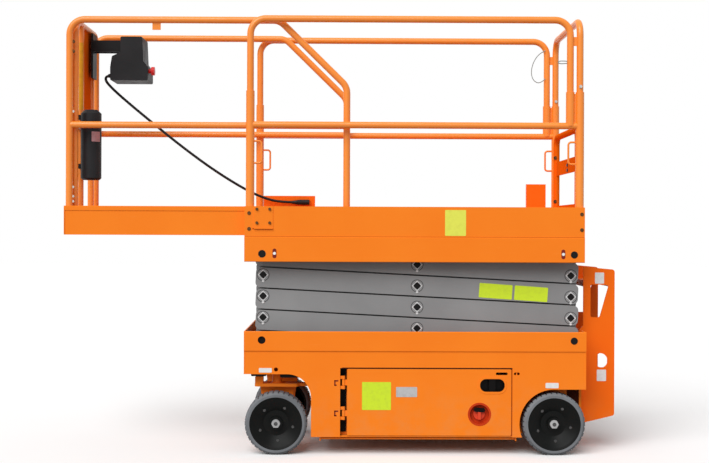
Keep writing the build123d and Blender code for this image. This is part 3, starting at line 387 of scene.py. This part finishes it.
def stud_tree():
    """A stud with a washer under it at each point: hexagon bolts, pins and boss rings."""
    tree, given, result = geometry_tree("studs_on_points")
    socket(tree, "Sides", "NodeSocketInt", 6)
    socket(tree, "Radius", "NodeSocketFloat", 0.009)
    socket(tree, "Height", "NodeSocketFloat", 0.006)
    socket(tree, "Washer", "NodeSocketFloat", 0.012)
    socket(tree, "Turn", "NodeSocketVector")
    socket(tree, "Finish", "NodeSocketMaterial")
    head = add(tree, "GeometryNodeMeshCylinder")
    washer = add(tree, "GeometryNodeMeshCylinder")
    washer.inputs["Vertices"].default_value = 24
    thin = add(tree, "ShaderNodeMath", operation="MULTIPLY")
    thin.inputs[1].default_value = 0.5
    tree.links.new(given.outputs["Height"], thin.inputs[0])
    tree.links.new(given.outputs["Sides"], head.inputs["Vertices"])
    tree.links.new(given.outputs["Radius"], head.inputs["Radius"])
    tree.links.new(given.outputs["Height"], head.inputs["Depth"])
    tree.links.new(given.outputs["Washer"], washer.inputs["Radius"])
    tree.links.new(thin.outputs[0], washer.inputs["Depth"])
    lift = add(tree, "ShaderNodeCombineXYZ")
    tree.links.new(thin.outputs[0], lift.inputs["Z"])
    raised = add(tree, "GeometryNodeTransform")
    tree.links.new(head.outputs["Mesh"], raised.inputs["Geometry"])
    tree.links.new(lift.outputs[0], raised.inputs["Translation"])
    both = add(tree, "GeometryNodeJoinGeometry")
    tree.links.new(raised.outputs[0], both.inputs[0])
    tree.links.new(washer.outputs["Mesh"], both.inputs[0])
    flat = add(tree, "GeometryNodeSetShadeSmooth")
    flat.inputs["Shade Smooth"].default_value = False
    tree.links.new(both.outputs[0], flat.inputs[0])
    turn = add(tree, "FunctionNodeEulerToRotation")
    tree.links.new(given.outputs["Turn"], turn.inputs[0])
    copies = add(tree, "GeometryNodeInstanceOnPoints")
    tree.links.new(given.outputs["Points"], copies.inputs["Points"])
    tree.links.new(flat.outputs[0], copies.inputs["Instance"])
    tree.links.new(turn.outputs[0], copies.inputs["Rotation"])
    end_tree(tree, given, result, copies.outputs[0])
    return tree


def lozenge_tree():
    """Raised lozenges, turned one way and the other by turns, as on chequer plate."""
    tree, given, result = geometry_tree("lozenges_on_points")
    socket(tree, "Size", "NodeSocketVector", (0.015, 0.0045, 0.0016))
    socket(tree, "Finish", "NodeSocketMaterial")
    bead = add(tree, "GeometryNodeMeshUVSphere")
    bead.inputs["Segments"].default_value = 8
    bead.inputs["Rings"].default_value = 4
    bead.inputs["Radius"].default_value = 1.0
    flat = add(tree, "GeometryNodeTransform")
    tree.links.new(bead.outputs["Mesh"], flat.inputs["Geometry"])
    tree.links.new(given.outputs["Size"], flat.inputs["Scale"])
    index = add(tree, "GeometryNodeInputIndex")
    parity = add(tree, "ShaderNodeMath", operation="MODULO")
    parity.inputs[1].default_value = 2.0
    tree.links.new(index.outputs[0], parity.inputs[0])
    angle = add(tree, "ShaderNodeMath", operation="MULTIPLY_ADD")
    angle.inputs[1].default_value = math.pi / 2
    angle.inputs[2].default_value = math.pi / 4
    tree.links.new(parity.outputs[0], angle.inputs[0])
    about_z = add(tree, "ShaderNodeCombineXYZ")
    tree.links.new(angle.outputs[0], about_z.inputs["Z"])
    turn = add(tree, "FunctionNodeEulerToRotation")
    tree.links.new(about_z.outputs[0], turn.inputs[0])
    copies = add(tree, "GeometryNodeInstanceOnPoints")
    tree.links.new(given.outputs["Points"], copies.inputs["Points"])
    tree.links.new(flat.outputs[0], copies.inputs["Instance"])
    tree.links.new(turn.outputs[0], copies.inputs["Rotation"])
    end_tree(tree, given, result, copies.outputs[0])
    return tree


STUDS = stud_tree()
LOZENGES = lozenge_tree()
OUTWARDS = {"near": (math.pi / 2, 0.0, 0.0), "far": (-math.pi / 2, 0.0, 0.0)}
TOWARDS_FRONT = (0.0, -math.pi / 2, 0.0)


def pattern(name, tree, points, body, slot, **inputs):
    """Runs a pattern tree over points and keeps the result as a plain mesh on one body."""
    seed_mesh = bpy.data.meshes.new(name + "_points")
    seed_mesh.from_pydata([tuple(p) for p in points], [], [])
    seed = bpy.data.objects.new(name + "_points", seed_mesh)
    bpy.context.scene.collection.objects.link(seed)
    modifier = seed.modifiers.new("pattern", "NODES")
    modifier.node_group = tree
    names = {s.name: s.identifier for s in tree.interface.items_tree if s.in_out == "INPUT"}
    for key, value in inputs.items():
        modifier[names[key]] = value
    seed.update_tag()
    bpy.context.view_layer.update()
    shown = seed.evaluated_get(bpy.context.evaluated_depsgraph_get())
    mesh = bpy.data.meshes.new_from_object(shown)
    bpy.data.objects.remove(seed)
    return keep(name, mesh, body)


def keep(name, mesh, body):
    """Puts a finished mesh in the scene, on one body of the machine."""
    piece = bpy.data.objects.new(name, mesh)
    bpy.context.scene.collection.objects.link(piece)
    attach(piece, body)
    return piece


def bolts(name, points, body, radius, turn=OUTWARDS["near"], finish=STEEL):
    return pattern(
        name, STUDS, points, body, "steel", Sides=6, Radius=radius, Height=0.7 * radius,
        Washer=1.35 * radius, Turn=turn, Finish=finish,
    )


def twin_bolts(name, points, body, radius, finish):
    """Bolts on a near face and on its far twin."""
    for side, flip in SIDES:
        twins = [(x, flip * y, z) for x, y, z in points]
        bolts(f"{name}_{side}", twins, body, radius, OUTWARDS[side], finish)


# Shaped pieces

TURNED_STEPS = 28
LABEL_STEPS = 10
PLATE_CORNER_STEPS = 4
WINDOW_CORNER_STEPS = 8
PLATE_THICK = 0.0008
PLATE_SINK = 0.0004


def finished(name, mesh, body, finish):
    """Turns a piece's faces outwards, gives it its finish and puts it on one body."""
    bmesh.ops.recalc_face_normals(mesh, faces=mesh.faces)
    data = bpy.data.meshes.new(name)
    mesh.to_mesh(data)
    mesh.free()
    data.materials.append(finish)
    return keep(name, data, body)


def join_rings(mesh, ring, after):
    """A band of faces between two rings of as many points."""
    for i in range(len(ring)):
        j = (i + 1) % len(ring)
        mesh.faces.new((ring[i], ring[j], after[j], after[i]))


def turned(name, profile, start, along, body, finish):
    """A closed turned piece: rows of (distance, radius) from a start point along a direction."""
    direction = Vector(along).normalized()
    side = direction.orthogonal().normalized()
    other = direction.cross(side)
    mesh = bmesh.new()
    rings = []
    for distance, radius in profile:
        centre = Vector(start) + direction * distance
        ring = []
        for step in range(TURNED_STEPS):
            angle = 2 * math.pi * step / TURNED_STEPS
            ring.append(mesh.verts.new(centre + (side * math.cos(angle) + other * math.sin(angle)) * radius))
        rings.append(ring)
    for ring, after in zip(rings, rings[1:]):
        join_rings(mesh, ring, after)
    mesh.faces.new(rings[0][::-1])
    mesh.faces.new(rings[-1])
    return finished(name, mesh, body, finish)


def rounded(across, up, left, right, steps):
    """An outline of an upright rectangle with one corner radius on the left and one on the right."""
    corners = [
        # place, signs of the way to the middle, first angle, radius
        (across[1], up[1], -1, -1, 0.0, right),
        (across[0], up[1], 1, -1, 90.0, left),
        (across[0], up[0], 1, 1, 180.0, left),
        (across[1], up[0], -1, 1, 270.0, right),
    ]
    ring = []
    for u, v, side_u, side_v, start, radius in corners:
        for step in range(steps + 1):
            angle = math.radians(start + 90.0 * step / steps)
            ring.append((u + radius * (side_u + math.cos(angle)), v + radius * (side_v + math.sin(angle))))
    return ring


def bare_plate(
    name, across, up, face, body, finish, slant=0.0, corner=0.004, thick=PLATE_THICK,
    sink=PLATE_SINK, facing="near",
):
    """A plate with round corners, proud of a near, far or rear face and sunk into it, turned by a slant."""
    middle_u = (across[0] + across[1]) / 2
    middle_v = (up[0] + up[1]) / 2
    ring = []
    for u, v in rounded(across, up, corner, corner, PLATE_CORNER_STEPS):
        off_u, off_v = u - middle_u, v - middle_v
        turned_u = off_u * math.cos(slant) - off_v * math.sin(slant)
        turned_v = off_u * math.sin(slant) + off_v * math.cos(slant)
        ring.append((middle_u + turned_u, middle_v + turned_v))
    mesh = bmesh.new()
    if facing == "rear":
        front = [mesh.verts.new((face + thick, u, v)) for u, v in ring]
        back = [mesh.verts.new((face - sink, u, v)) for u, v in ring]
    else:
        out = 1.0 if facing == "far" else -1.0
        front = [mesh.verts.new((u, face + out * thick, v)) for u, v in ring]
        back = [mesh.verts.new((u, face - out * sink, v)) for u, v in ring]
    mesh.faces.new(front)
    mesh.faces.new(back[::-1])
    join_rings(mesh, front, back)
    return finished(name, mesh, body, finish)


def shade_line(name, along, up, face, body, finish=SHADE_LINE_ORANGE, facing="near"):
    """A thin dark line of painted shade where two sheets meet."""
    bare_plate(name, along, up, face, body, finish, corner=0.001, facing=facing)


def window_plate(name, outer, inner, face, body, finish):
    """A thin sheet round a window: two outlines of as many points, on the near or the far side."""
    away = PLATE_THICK if face > 0 else -PLATE_THICK
    mesh = bmesh.new()
    rings = []
    for outline, y in ((outer, face + away), (inner, face + away), (inner, face - away), (outer, face - away)):
        rings.append([mesh.verts.new((x, y, z)) for x, z in outline])
    for ring, after in zip(rings, rings[1:] + rings[:1]):
        join_rings(mesh, ring, after)
    return finished(name, mesh, body, finish)


def wrapped_label(name, axis, radius, angles, up, body, finish):
    """A bare label bent round an upright can; angles from the near side towards the rear."""
    mesh = bmesh.new()
    rows = []
    for step in range(LABEL_STEPS + 1):
        angle = math.radians(angles[0] + (angles[1] - angles[0]) * step / LABEL_STEPS)
        row = []
        for reach in (radius - 0.0004, radius + 0.0006):
            x = axis.x + reach * math.sin(angle)
            y = axis.y - reach * math.cos(angle)
            row += [mesh.verts.new((x, y, up[0])), mesh.verts.new((x, y, up[1]))]
        rows.append(row)
    for row, after in zip(rows, rows[1:]):
        for a, b in ((0, 1), (1, 3), (3, 2), (2, 0)):
            mesh.faces.new((row[a], row[b], after[b], after[a]))
    for row in (rows[0], rows[-1]):
        mesh.faces.new((row[0], row[1], row[3], row[2]))
    return finished(name, mesh, body, finish)


def cord_along(name, places, radius, round_steps, steps, finish):
    """A round cord on a smooth line led by its places."""
    curve = bpy.data.curves.new(name, "CURVE")
    curve.dimensions = "3D"
    curve.bevel_depth = radius
    curve.bevel_resolution = round_steps
    curve.use_fill_caps = True
    line = curve.splines.new("NURBS")
    line.points.add(len(places) - 1)
    for point, place in zip(line.points, places):
        point.co = (*place, 1.0)
    line.order_u = 3
    line.use_endpoint_u = True
    curve.resolution_u = steps
    curve.materials.append(finish)
    cord = bpy.data.objects.new(name, curve)
    bpy.context.scene.collection.objects.link(cord)
    return cord


# The control cable, on the route of its solid: shares of the way from the plug to the box

CABLE_R = 0.007
CABLE_START = Vector((BOX_LOW.x, (BOX_LOW.y + BOX_HIGH.y) / 2, BOX_LOW.z + 0.033))
CABLE_END = Vector((PLUG_LOW.x, PLUG_LOW.y + 0.014, (PLUG_LOW.z + PLUG_HIGH.z) / 2))
CABLE_SHARES = [
    # along, across, up
    (1.0, 1.0, 1.0),
    (1.029, 1.0, 1.0),
    (1.043, 0.99, 0.983),
    (1.036, 0.97, 0.945),
    (0.967, 0.92, 0.845),
    (0.794, 0.76, 0.632),
    (0.627, 0.58, 0.433),
    (0.458, 0.39, 0.251),
    (0.297, 0.21, 0.105),
    (0.196, 0.10, 0.036),
    (0.104, 0.0, 0.0),
    (0.0, 0.0, 0.0),
]


def control_cable():
    span = CABLE_START - CABLE_END
    places = [[end + part * way for end, part, way in zip(CABLE_END, share, span)] for share in CABLE_SHARES]
    cable = cord_along("control_cord", places, CABLE_R, 4, 12, CABLE_BLACK)
    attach(cable, "extension")
    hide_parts("control_cable")


# Sleeves where the cable leaves the control box and meets its plug

def cable_sleeves():
    ribs = [(0.0, 0.0135), (0.004, 0.0135), (0.0045, 0.0115)]
    for k in range(4):
        start = 0.007 + 0.0048 * k
        wide = 0.0122 - 0.0007 * k
        ribs += [(start, wide - 0.0012), (start + 0.0004, wide), (start + 0.0026, wide), (start + 0.003, wide - 0.0012)]
    ribs.append((0.026, 0.0086))
    turned("box_sleeve", ribs, CABLE_START, (-1.0, 0.0, 0.0), "extension", CABLE_BLACK)
    taper = [(0.0, 0.0125), (0.006, 0.0125), (0.008, 0.0112), (0.034, 0.0086), (0.036, 0.0078)]
    turned("plug_sleeve", taper, CABLE_END, (-1.0, 0.0, 0.0), "extension", CABLE_BLACK)


# Wire loops that hold the hoops' locking pins

WIRE_R = 0.0024
LOCK_WIRES = [
    # name, length, places as along from the middle, across, up
    (
        "far_hoop_wire", 0.272,
        [
            (0.748, 0.322, 2.088), (0.715, 0.318, 2.075), (0.678, 0.316, 2.02), (0.668, 0.316, 1.96),
            (0.685, 0.316, 1.918), (0.722, 0.318, 1.908), (0.748, 0.322, 1.935),
        ],
    ),
    (
        "near_hoop_wire", 0.096,
        [
            (0.745, -0.345, 1.937), (0.72, -0.348, 1.939), (0.7, -0.348, 1.936), (0.7, -0.348, 1.926),
            (0.722, -0.347, 1.924), (0.745, -0.345, 1.928),
        ],
    ),
]


def lock_wires():
    for name, length, route in LOCK_WIRES:
        places = [(MIDDLE_X + x, y, z) for x, y, z in route]
        wire = cord_along(name, places, WIRE_R, 2, 10, WIRE_GREY)
        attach(wire, "platform")


# Bolts on the toe boards, the corner plates, the gate and the rear posts

def body_bolts():
    toe = [(x, TOE_FACE, z) for x in from_middle(-0.817, 0.8155) for z in (1.183, 1.106)]
    twin_bolts("toe_bolts", toe, "platform", 0.0068, BRASS)
    corner = [(x, CORNER_PLATE_FACE, z) for x in from_middle(-0.7785, -0.716) for z in (1.203, 1.136)]
    twin_bolts("corner_plate_bolts", corner, "platform", 0.0052, BRASS)
    hinge = [(MIDDLE_X + 0.799, 0.2835, z) for z in (1.2605, 1.498)]
    bolts("gate_hinge_bolts", hinge, "gate", 0.0075, finish=BRASS)
    rear_post = MIDDLE_X + 0.808
    posts = [(rear_post, SOCKET_FACE, 1.811), (rear_post, -SOCKET_FACE - 0.042, 1.81)]
    bolts("rear_post_bolts", posts, "platform", 0.006)
    latch = [(MIDDLE_X + 0.805, -0.04, z) for z in (1.442, 1.416)]
    bolts("gate_latch_bolts", latch, "gate", 0.0075, TOWARDS_FRONT, DARK_STEEL)


# Pivots of the scissor arms: a dark ring, a square lock plate on its corner and a square pin end

STAGES = 4
PIVOT_MARKS = [
    # name, sides, radius, height, finish
    ("pivot_rings", 32, 0.031, 0.0006, PIN_BLACK),
    ("pivot_faces", 32, 0.0285, 0.001, GREY_ARMS),
    ("lock_plates", 4, 0.0265, 0.0018, LOCK_GREY),
    ("pin_ends", 4, 0.02, 0.0026, PIN_BLACK),
]
LOCK_SCREW_DROP = 0.031


def arm_pivots():
    for stage in range(1, STAGES + 1):
        arm = f"outer_arm_{stage}"
        low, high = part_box(arm)
        middle = Vector(((low.x + high.x) / 2, OUTER_ARM_FACE, (low.z + high.z) / 2))
        spots = [middle - ARM_REACH, middle, middle + ARM_REACH]
        if stage == 1:
            spots = spots[:2]
        if stage == STAGES:
            spots = spots[1:]
        for side, flip in SIDES:
            places = [(p.x, flip * p.y, p.z) for p in spots]
            for name, sides, radius, height, finish in PIVOT_MARKS:
                pattern(
                    f"{name}_{stage}_{side}", STUDS, places, arm, "steel", Sides=sides, Radius=radius,
                    Height=height, Washer=0.6 * radius, Turn=OUTWARDS[side], Finish=finish,
                )
            screws = [(x, y, z - LOCK_SCREW_DROP) for x, y, z in places]
            bolts(f"lock_screws_{stage}_{side}", screws, arm, 0.0048, OUTWARDS[side], LOCK_GREY)


# Caps over the pivot holes of the chassis and the skirts, pin ends in the open ones, and the lock slots beside them as
# dark red plates of painted shade

CAP_PROFILE = [
    # distance, radius
    (-0.001, 0.0175), (0.0012, 0.0175), (0.0022, 0.0163), (0.0026, 0.012), (0.0018, 0.0112), (0.0018, 0.0004),
]
PIN_FACE_PROFILE = [(-0.0006, 0.0215), (0.0003, 0.0215), (0.0005, 0.0205), (0.0005, 0.0004)]
LOCK_SLOT_HALF = 0.0095


def pivot_caps():
    rows = [
        # name, along, up, near face, body, profile
        ("skirt_cap_rear", REAR_PIVOT, TOP_PIVOT_Z, SKIRT_FACE, "platform", CAP_PROFILE),
        ("skirt_cap_front", FRONT_PIVOT, TOP_PIVOT_Z, SKIRT_FACE, "platform", CAP_PROFILE),
        ("band_cap_rear", REAR_PIVOT, LOW_PIVOT_Z, BAND_FACE, "chassis", CAP_PROFILE),
        ("pin_face", FRONT_PIVOT, LOW_PIVOT_Z, INNER_ARM_FACE, "inner_arm_1", PIN_FACE_PROFILE),
    ]
    for name, x, z, face, body, profile in rows:
        for side, flip in SIDES:
            start = (x, flip * face, z)
            turned(f"{name}_{side}", profile, start, (0.0, -flip, 0.0), body, PIN_BLACK)


def lock_slots():
    for name, x in (("front", MIDDLE_X - 0.692), ("rear", MIDDLE_X + 0.724)):
        # Each slot is a dark red plate: painted shade standing for the shaded inside of the slot.
        bare_plate(
            f"lock_slot_{name}", (x - LOCK_SLOT_HALF, x + LOCK_SLOT_HALF), (0.963, 1.01), SKIRT_FACE, "platform",
            SLOT_RED, corner=0.0094,
        )
        head = [(x, SKIRT_FACE - PLATE_THICK, 0.9865)]
        bolts(f"lock_slot_bolt_{name}", head, "platform", 0.0055, finish=BRIGHT_STEEL)


# Hub nuts, axle ends and wheel bolts

WHEEL_BOLTS = 5
WHEEL_BOLT_RING = 0.086
FIRST_BOLT_DEGREES = -156.0


def wheel_hardware():
    for name in WHEELS:
        low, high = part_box(f"rim_{name}")
        near = name.endswith("near")
        inwards = 1.0 if near else -1.0
        turn = OUTWARDS["near" if near else "far"]
        hub = Vector(((low.x + high.x) / 2, low.y if near else high.y, (low.z + high.z) / 2))
        body = f"wheel_{name}"
        nut = [(hub.x, hub.y + inwards * 0.0085, hub.z)]
        pattern(
            f"hub_nut_{name}", STUDS, nut, body, "steel", Sides=6, Radius=0.0215, Height=0.0098,
            Washer=0.0205, Turn=turn, Finish=NUT_GREY,
        )
        stub = [(hub.x, hub.y - inwards * 0.0008, hub.z)]
        pattern(
            f"axle_end_{name}", STUDS, stub, body, "steel", Sides=24, Radius=0.0095, Height=0.0016,
            Washer=0.011, Turn=turn, Finish=DARK_STEEL,
        )
        ring = []
        for k in range(WHEEL_BOLTS):
            angle = math.radians(360.0 / WHEEL_BOLTS * k + FIRST_BOLT_DEGREES)
            x = hub.x + WHEEL_BOLT_RING * math.cos(angle)
            z = hub.z + WHEEL_BOLT_RING * math.sin(angle)
            ring.append((x, hub.y + inwards * 0.0205, z))
        bolts(f"wheel_bolts_{name}", ring, body, 0.006, turn, DARK_STEEL)


# Chequer plate on the two decks

CHEQUER_PITCH = 0.036


def chequer(name, low, high, body):
    """Lozenges over a deck, an odd number to each row so that they turn by turns."""
    across = int((high.y - low.y) / CHEQUER_PITCH) | 1
    along = int((high.x - low.x) / CHEQUER_PITCH)
    points = []
    for i in range(along):
        for j in range(across):
            x = low.x + (i + 0.5) * (high.x - low.x) / along
            y = low.y + (j + 0.5) * (high.y - low.y) / across
            points.append((x, y, high.z))
    pattern(name, LOZENGES, points, body, "orange_paint", Finish=ORANGE)


def chequer_plates():
    main_low = Vector((EXT_HIGH.x + 0.01, DECK_LOW.y, 0.0)) + Vector((0.02, 0.05, 0.0))
    chequer("deck_chequer", main_low, DECK_HIGH - Vector((0.07, 0.05, 0.0)), "platform")
    ext_low = EXT_LOW + Vector((0.08, 0.075, 0.0))
    chequer("extension_chequer", ext_low, EXT_HIGH - Vector((0.02, 0.12, 0.0)), "extension")


# Bare plates on the near side

def bare_plates():
    slope = math.atan2(ARM_REACH.z, ARM_REACH.x)
    rows = [
        # name, along from the middle, up, near face, body, finish, slant
        ("plate_front_wheel", (-0.766, -0.703), (0.403, 0.425), WALL_FACE, "chassis", PLATE_WHITE, 0.0),
        ("plate_rear_wheel", (0.639, 0.703), (0.33, 0.356), WALL_FACE, "chassis", PLATE_WHITE, 0.0),
        ("plate_ladder_high", (0.916, 0.962), (0.836, 0.892), LADDER_FACE, "chassis", PLATE_WHITE, 0.0),
        ("plate_ladder_low", (0.927, 0.974), (0.344, 0.402), LADDER_FACE, "chassis", PLATE_WHITE, 0.0),
        ("plate_door", (-0.261, -0.119), (0.221, 0.358), DOOR_FACE, "door_near", PLATE_YELLOW, 0.0),
        ("plate_door_small", (-0.094, 0.009), (0.285, 0.334), DOOR_FACE, "door_near", PLATE_SILVER, 0.0),
        ("plate_toe", (0.143, 0.246), (1.075, 1.202), TOE_FACE, "platform", PLATE_PALE, 0.0),
        ("plate_arm_a", (0.321, 0.486), (0.764, 0.836), OUTER_ARM_FACE, "outer_arm_3", PLATE_YELLOW, slope),
        ("plate_arm_b", (0.497, 0.663), (0.752, 0.824), OUTER_ARM_FACE, "outer_arm_3", PLATE_YELLOW, slope),
    ]
    for name, along, up, face, body, finish, slant in rows:
        bare_plate(name, from_middle(*along), up, face, body, finish, slant=slant)


# Front rail: a sheet between its inner legs, a film round the near leg, and bolts

def front_rail_trim():
    rail_x = MIDDLE_X - 1.696
    bare_plate(
        "front_rail_panel", (-0.11, 0.11), (1.66, 2.125), rail_x, "extension", GATE_ORANGE,
        corner=0.012, thick=0.0015, sink=0.0015, facing="rear",
    )
    leg = Vector((rail_x, -0.125, 0.0))
    wrapped_label("front_rail_label", leg, 0.0166, (-15.0, 60.0), (1.708, 2.049), "extension", PLATE_AMBER)
    post = [(rail_x, FRONT_RAIL_FACE, z) for z in (1.31, 1.264, 1.239, 1.684)]
    bolts("front_rail_bolts", post, "extension", 0.005)
    tops = [(rail_x, FRONT_RAIL_FACE, z) for z in (2.03, 1.982)]
    bolts("front_rail_top_bolts", tops, "extension", 0.0065, finish=BRASS)


# Front axle: dark strips and flaps of painted shade above the sweep of the tie rod, and a stop block on each knuckle

AXLE_TOP = 0.3946


def front_axle_trim():
    # Black plates of painted shade behind the kingpins and under the chassis edge, and dark flaps of painted shade in
    # the arches.
    bare_plate(
        "axle_cross_painted_shade", from_middle(-0.70, -0.56), (0.378, AXLE_TOP), -0.185, "chassis", BLACK_PAINT_AND_SHADE,
        thick=0.0, sink=0.37,
    )
    bare_plate(
        "axle_front_painted_shade", from_middle(-0.81, -0.735), (0.376, AXLE_TOP), -0.3, "chassis", BLACK_PAINT_AND_SHADE,
        thick=0.0, sink=0.03,
    )
    for side, flip in SIDES:
        bare_plate(
            f"front_arch_painted_shade_{side}", from_middle(-0.662, -0.535), (0.377, AXLE_TOP), flip * -0.362, "chassis",
            BLACK_HANDLE_AND_SHADE, thick=0.0, sink=0.012, facing=side,
        )
        bare_plate(
            f"steer_stop_{side}", from_middle(-0.79, -0.75), (0.34, 0.374), flip * -0.3, f"knuckle_{side}",
            ORANGE, thick=0.0, sink=0.05, facing=side,
        )


# Near door's hinges: a dark plate of painted shade behind their slots, and a small mark beside each

def hinge_trim():
    bare_plate(
        "hinge_painted_shade", from_middle(-0.4, -0.338), (0.105, 0.425), WALL_FACE + 0.056, "chassis", BLACK_HANDLE_AND_SHADE,
    )
    for level, low in (("high", 0.339), ("low", 0.19)):
        marks = [
            # name, along from the middle, up
            ("back", (-0.397, -0.391), (low, low + 0.028)),
            ("top", (-0.397, -0.377), (low + 0.0215, low + 0.028)),
            ("foot", (-0.397, -0.385), (low, low + 0.0065)),
        ]
        for part, along, up in marks:
            bare_plate(
                f"hinge_mark_{part}_{level}", from_middle(*along), up, WALL_FACE, "chassis", SLOT_RED,
                corner=0.002,
            )


# Lines of painted shade along the toe board's crease, and painted shadow along the bottom and the rear edge of the
# corner plate

def platform_shade_lines():
    shade_line("toe_shade_line", (DECK_LOW.x + 0.002, DECK_HIGH.x - 0.002), (1.0664, 1.0698), TOE_FACE, "platform")
    corner = from_middle(-0.8005, -0.7075)
    shade_line("corner_shade_line_low", corner, (1.104, 1.11), TOE_FACE, "platform")
    shade_line("corner_shade_line_rear", (corner[1], corner[1] + 0.003), (1.104, 1.212), TOE_FACE, "platform")


# Side doors: rims round the handles' cups, and lines of painted shade in the gaps along the top and the rear edge

def door_trim():
    for side, flip in SIDES:
        low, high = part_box(f"door_handle_{side}")
        outer = rounded(
            (low.x - 0.002, high.x + 0.002), (low.z - 0.002, high.z + 0.002), 0.038, 0.038, WINDOW_CORNER_STEPS
        )
        inner = rounded(
            (low.x + 0.0075, high.x - 0.0075), (low.z + 0.008, high.z - 0.008), 0.0295, 0.0295, WINDOW_CORNER_STEPS
        )
        face = low.y if side == "near" else high.y
        window_plate(f"handle_rim_{side}", outer, inner, face, f"door_{side}", ORANGE)
        low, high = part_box(f"door_{side}")
        top = (high.z + 0.0012, high.z + 0.0065)
        rear = (high.x + 0.0012, high.x + 0.005)
        wall = flip * WALL_FACE
        shade_line(f"door_top_shade_line_{side}", (low.x, rear[1]), top, wall, "chassis", SHADE_MAROON, facing=side)
        shade_line(f"door_rear_shade_line_{side}", rear, (low.z, top[0]), wall, "chassis", facing=side)


# Ladder windows with a straight front and a round rear, and dark plates of painted shade behind the rear wheels

def rear_trim():
    outer = rounded(from_middle(0.9235, 0.986), (0.4045, 0.4905), 0.012, 0.014, WINDOW_CORNER_STEPS)
    inner = rounded(from_middle(0.9295, 0.98), (0.4105, 0.4845), 0.006, 0.0355, WINDOW_CORNER_STEPS)
    for side, flip in SIDES:
        window_plate(f"ladder_window_{side}", outer, inner, flip * LADDER_FACE, "chassis", DEEP_ORANGE)
        bare_plate(
            f"rear_arch_painted_shade_{side}", from_middle(0.765, 0.826), (0.2, 0.32), flip * -0.256, "chassis", SHADE_MAROON,
            facing=side,
        )


# Painted shade over the top of the battery isolator's knob, and the film on the canister

def small_trim():
    low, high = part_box("isolator_knob")
    middle_z = (low.z + high.z) / 2
    # A dark rounded plate over the top of the knob is painted shade in the cup's recess.
    bare_plate(
        "isolator_painted_shade", (low.x, high.x), (middle_z + 0.011, middle_z + 0.032), low.y, "door_near", BLACK_HANDLE_AND_SHADE,
        slant=-0.06, corner=0.0103, sink=0.006,
    )
    low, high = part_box("manual_canister")
    radius = 0.051
    axis = Vector((high.x - radius, low.y + radius, 0.0))
    wrapped_label("canister_label", axis, radius, (14.0, 68.0), (1.54, 1.59), "extension", PLATE_ROSE)


# Studio: a pale floor, even light from all round and one soft key light

FLOOR_SIDE = 60.0
AMBIENT_LIGHT = 0.5
KEY_LIGHT = 2.6
KEY_SPREAD = math.radians(50.0)
KEY_FROM = Vector((-0.35, -0.65, 0.68))


def seen_directly(tree):
    """One for what the camera, a reflection or glass shows, and nought for light in general."""
    ray = add(tree, "ShaderNodeLightPath")
    seen = ray.outputs["Is Camera Ray"]
    for kind in ("Is Glossy Ray", "Is Transmission Ray"):
        either = add(tree, "ShaderNodeMath", operation="MAXIMUM")
        tree.links.new(seen, either.inputs[0])
        tree.links.new(ray.outputs[kind], either.inputs[1])
        seen = either.outputs[0]
    return seen


def studio_floor():
    bpy.ops.mesh.primitive_plane_add(size=FLOOR_SIDE)
    floor = bpy.context.object
    floor.name = "studio_floor"
    material, tree, shader = blank_material("studio_floor")
    tone = spread(tree, noise(tree, place_on_object(tree), 0.6), 0.0, 1.0)
    shade = blend_colours(tree, tone, (0.3, 0.3, 0.3), (0.32, 0.32, 0.32))
    white = blend_colours(tree, tone, (0.96, 0.96, 0.96), (0.98, 0.98, 0.98))
    tree.links.new(blend_colours(tree, seen_directly(tree), shade, white), shader.inputs["Base Color"])
    shader.inputs["Roughness"].default_value = 0.9
    shader.inputs["Specular IOR Level"].default_value = 0.0
    floor.data.materials.append(material)


def studio_light():
    scene = bpy.context.scene
    scene.view_settings.view_transform = "Standard"
    world = bpy.data.worlds.new("studio_world")
    scene.world = world
    world.use_nodes = True
    tree = world.node_tree
    light = tree.nodes["Background"]
    light.inputs["Color"].default_value = (1.0, 1.0, 1.0, 1.0)
    light.inputs["Strength"].default_value = AMBIENT_LIGHT
    white = add(tree, "ShaderNodeBackground", {"Color": (1.0, 1.0, 1.0, 1.0), "Strength": 1.0})
    mix = add(tree, "ShaderNodeMixShader")
    tree.links.new(seen_directly(tree), mix.inputs[0])
    tree.links.new(light.outputs[0], mix.inputs[1])
    tree.links.new(white.outputs[0], mix.inputs[2])
    tree.links.new(mix.outputs[0], tree.nodes["World Output"].inputs["Surface"])
    data = bpy.data.lights.new("soft_key", "SUN")
    data.energy = KEY_LIGHT
    data.angle = KEY_SPREAD
    lamp = bpy.data.objects.new("soft_key", data)
    lamp.matrix_world = (-KEY_FROM).to_track_quat("-Z", "Y").to_matrix().to_4x4()
    scene.collection.objects.link(lamp)


photo_camera()
finish_nodes()
control_cable()
lock_wires()
cable_sleeves()
body_bolts()
arm_pivots()
pivot_caps()
lock_slots()
wheel_hardware()
chequer_plates()
bare_plates()
front_rail_trim()
front_axle_trim()
hinge_trim()
platform_shade_lines()
door_trim()
rear_trim()
small_trim()
studio_floor()
studio_light()
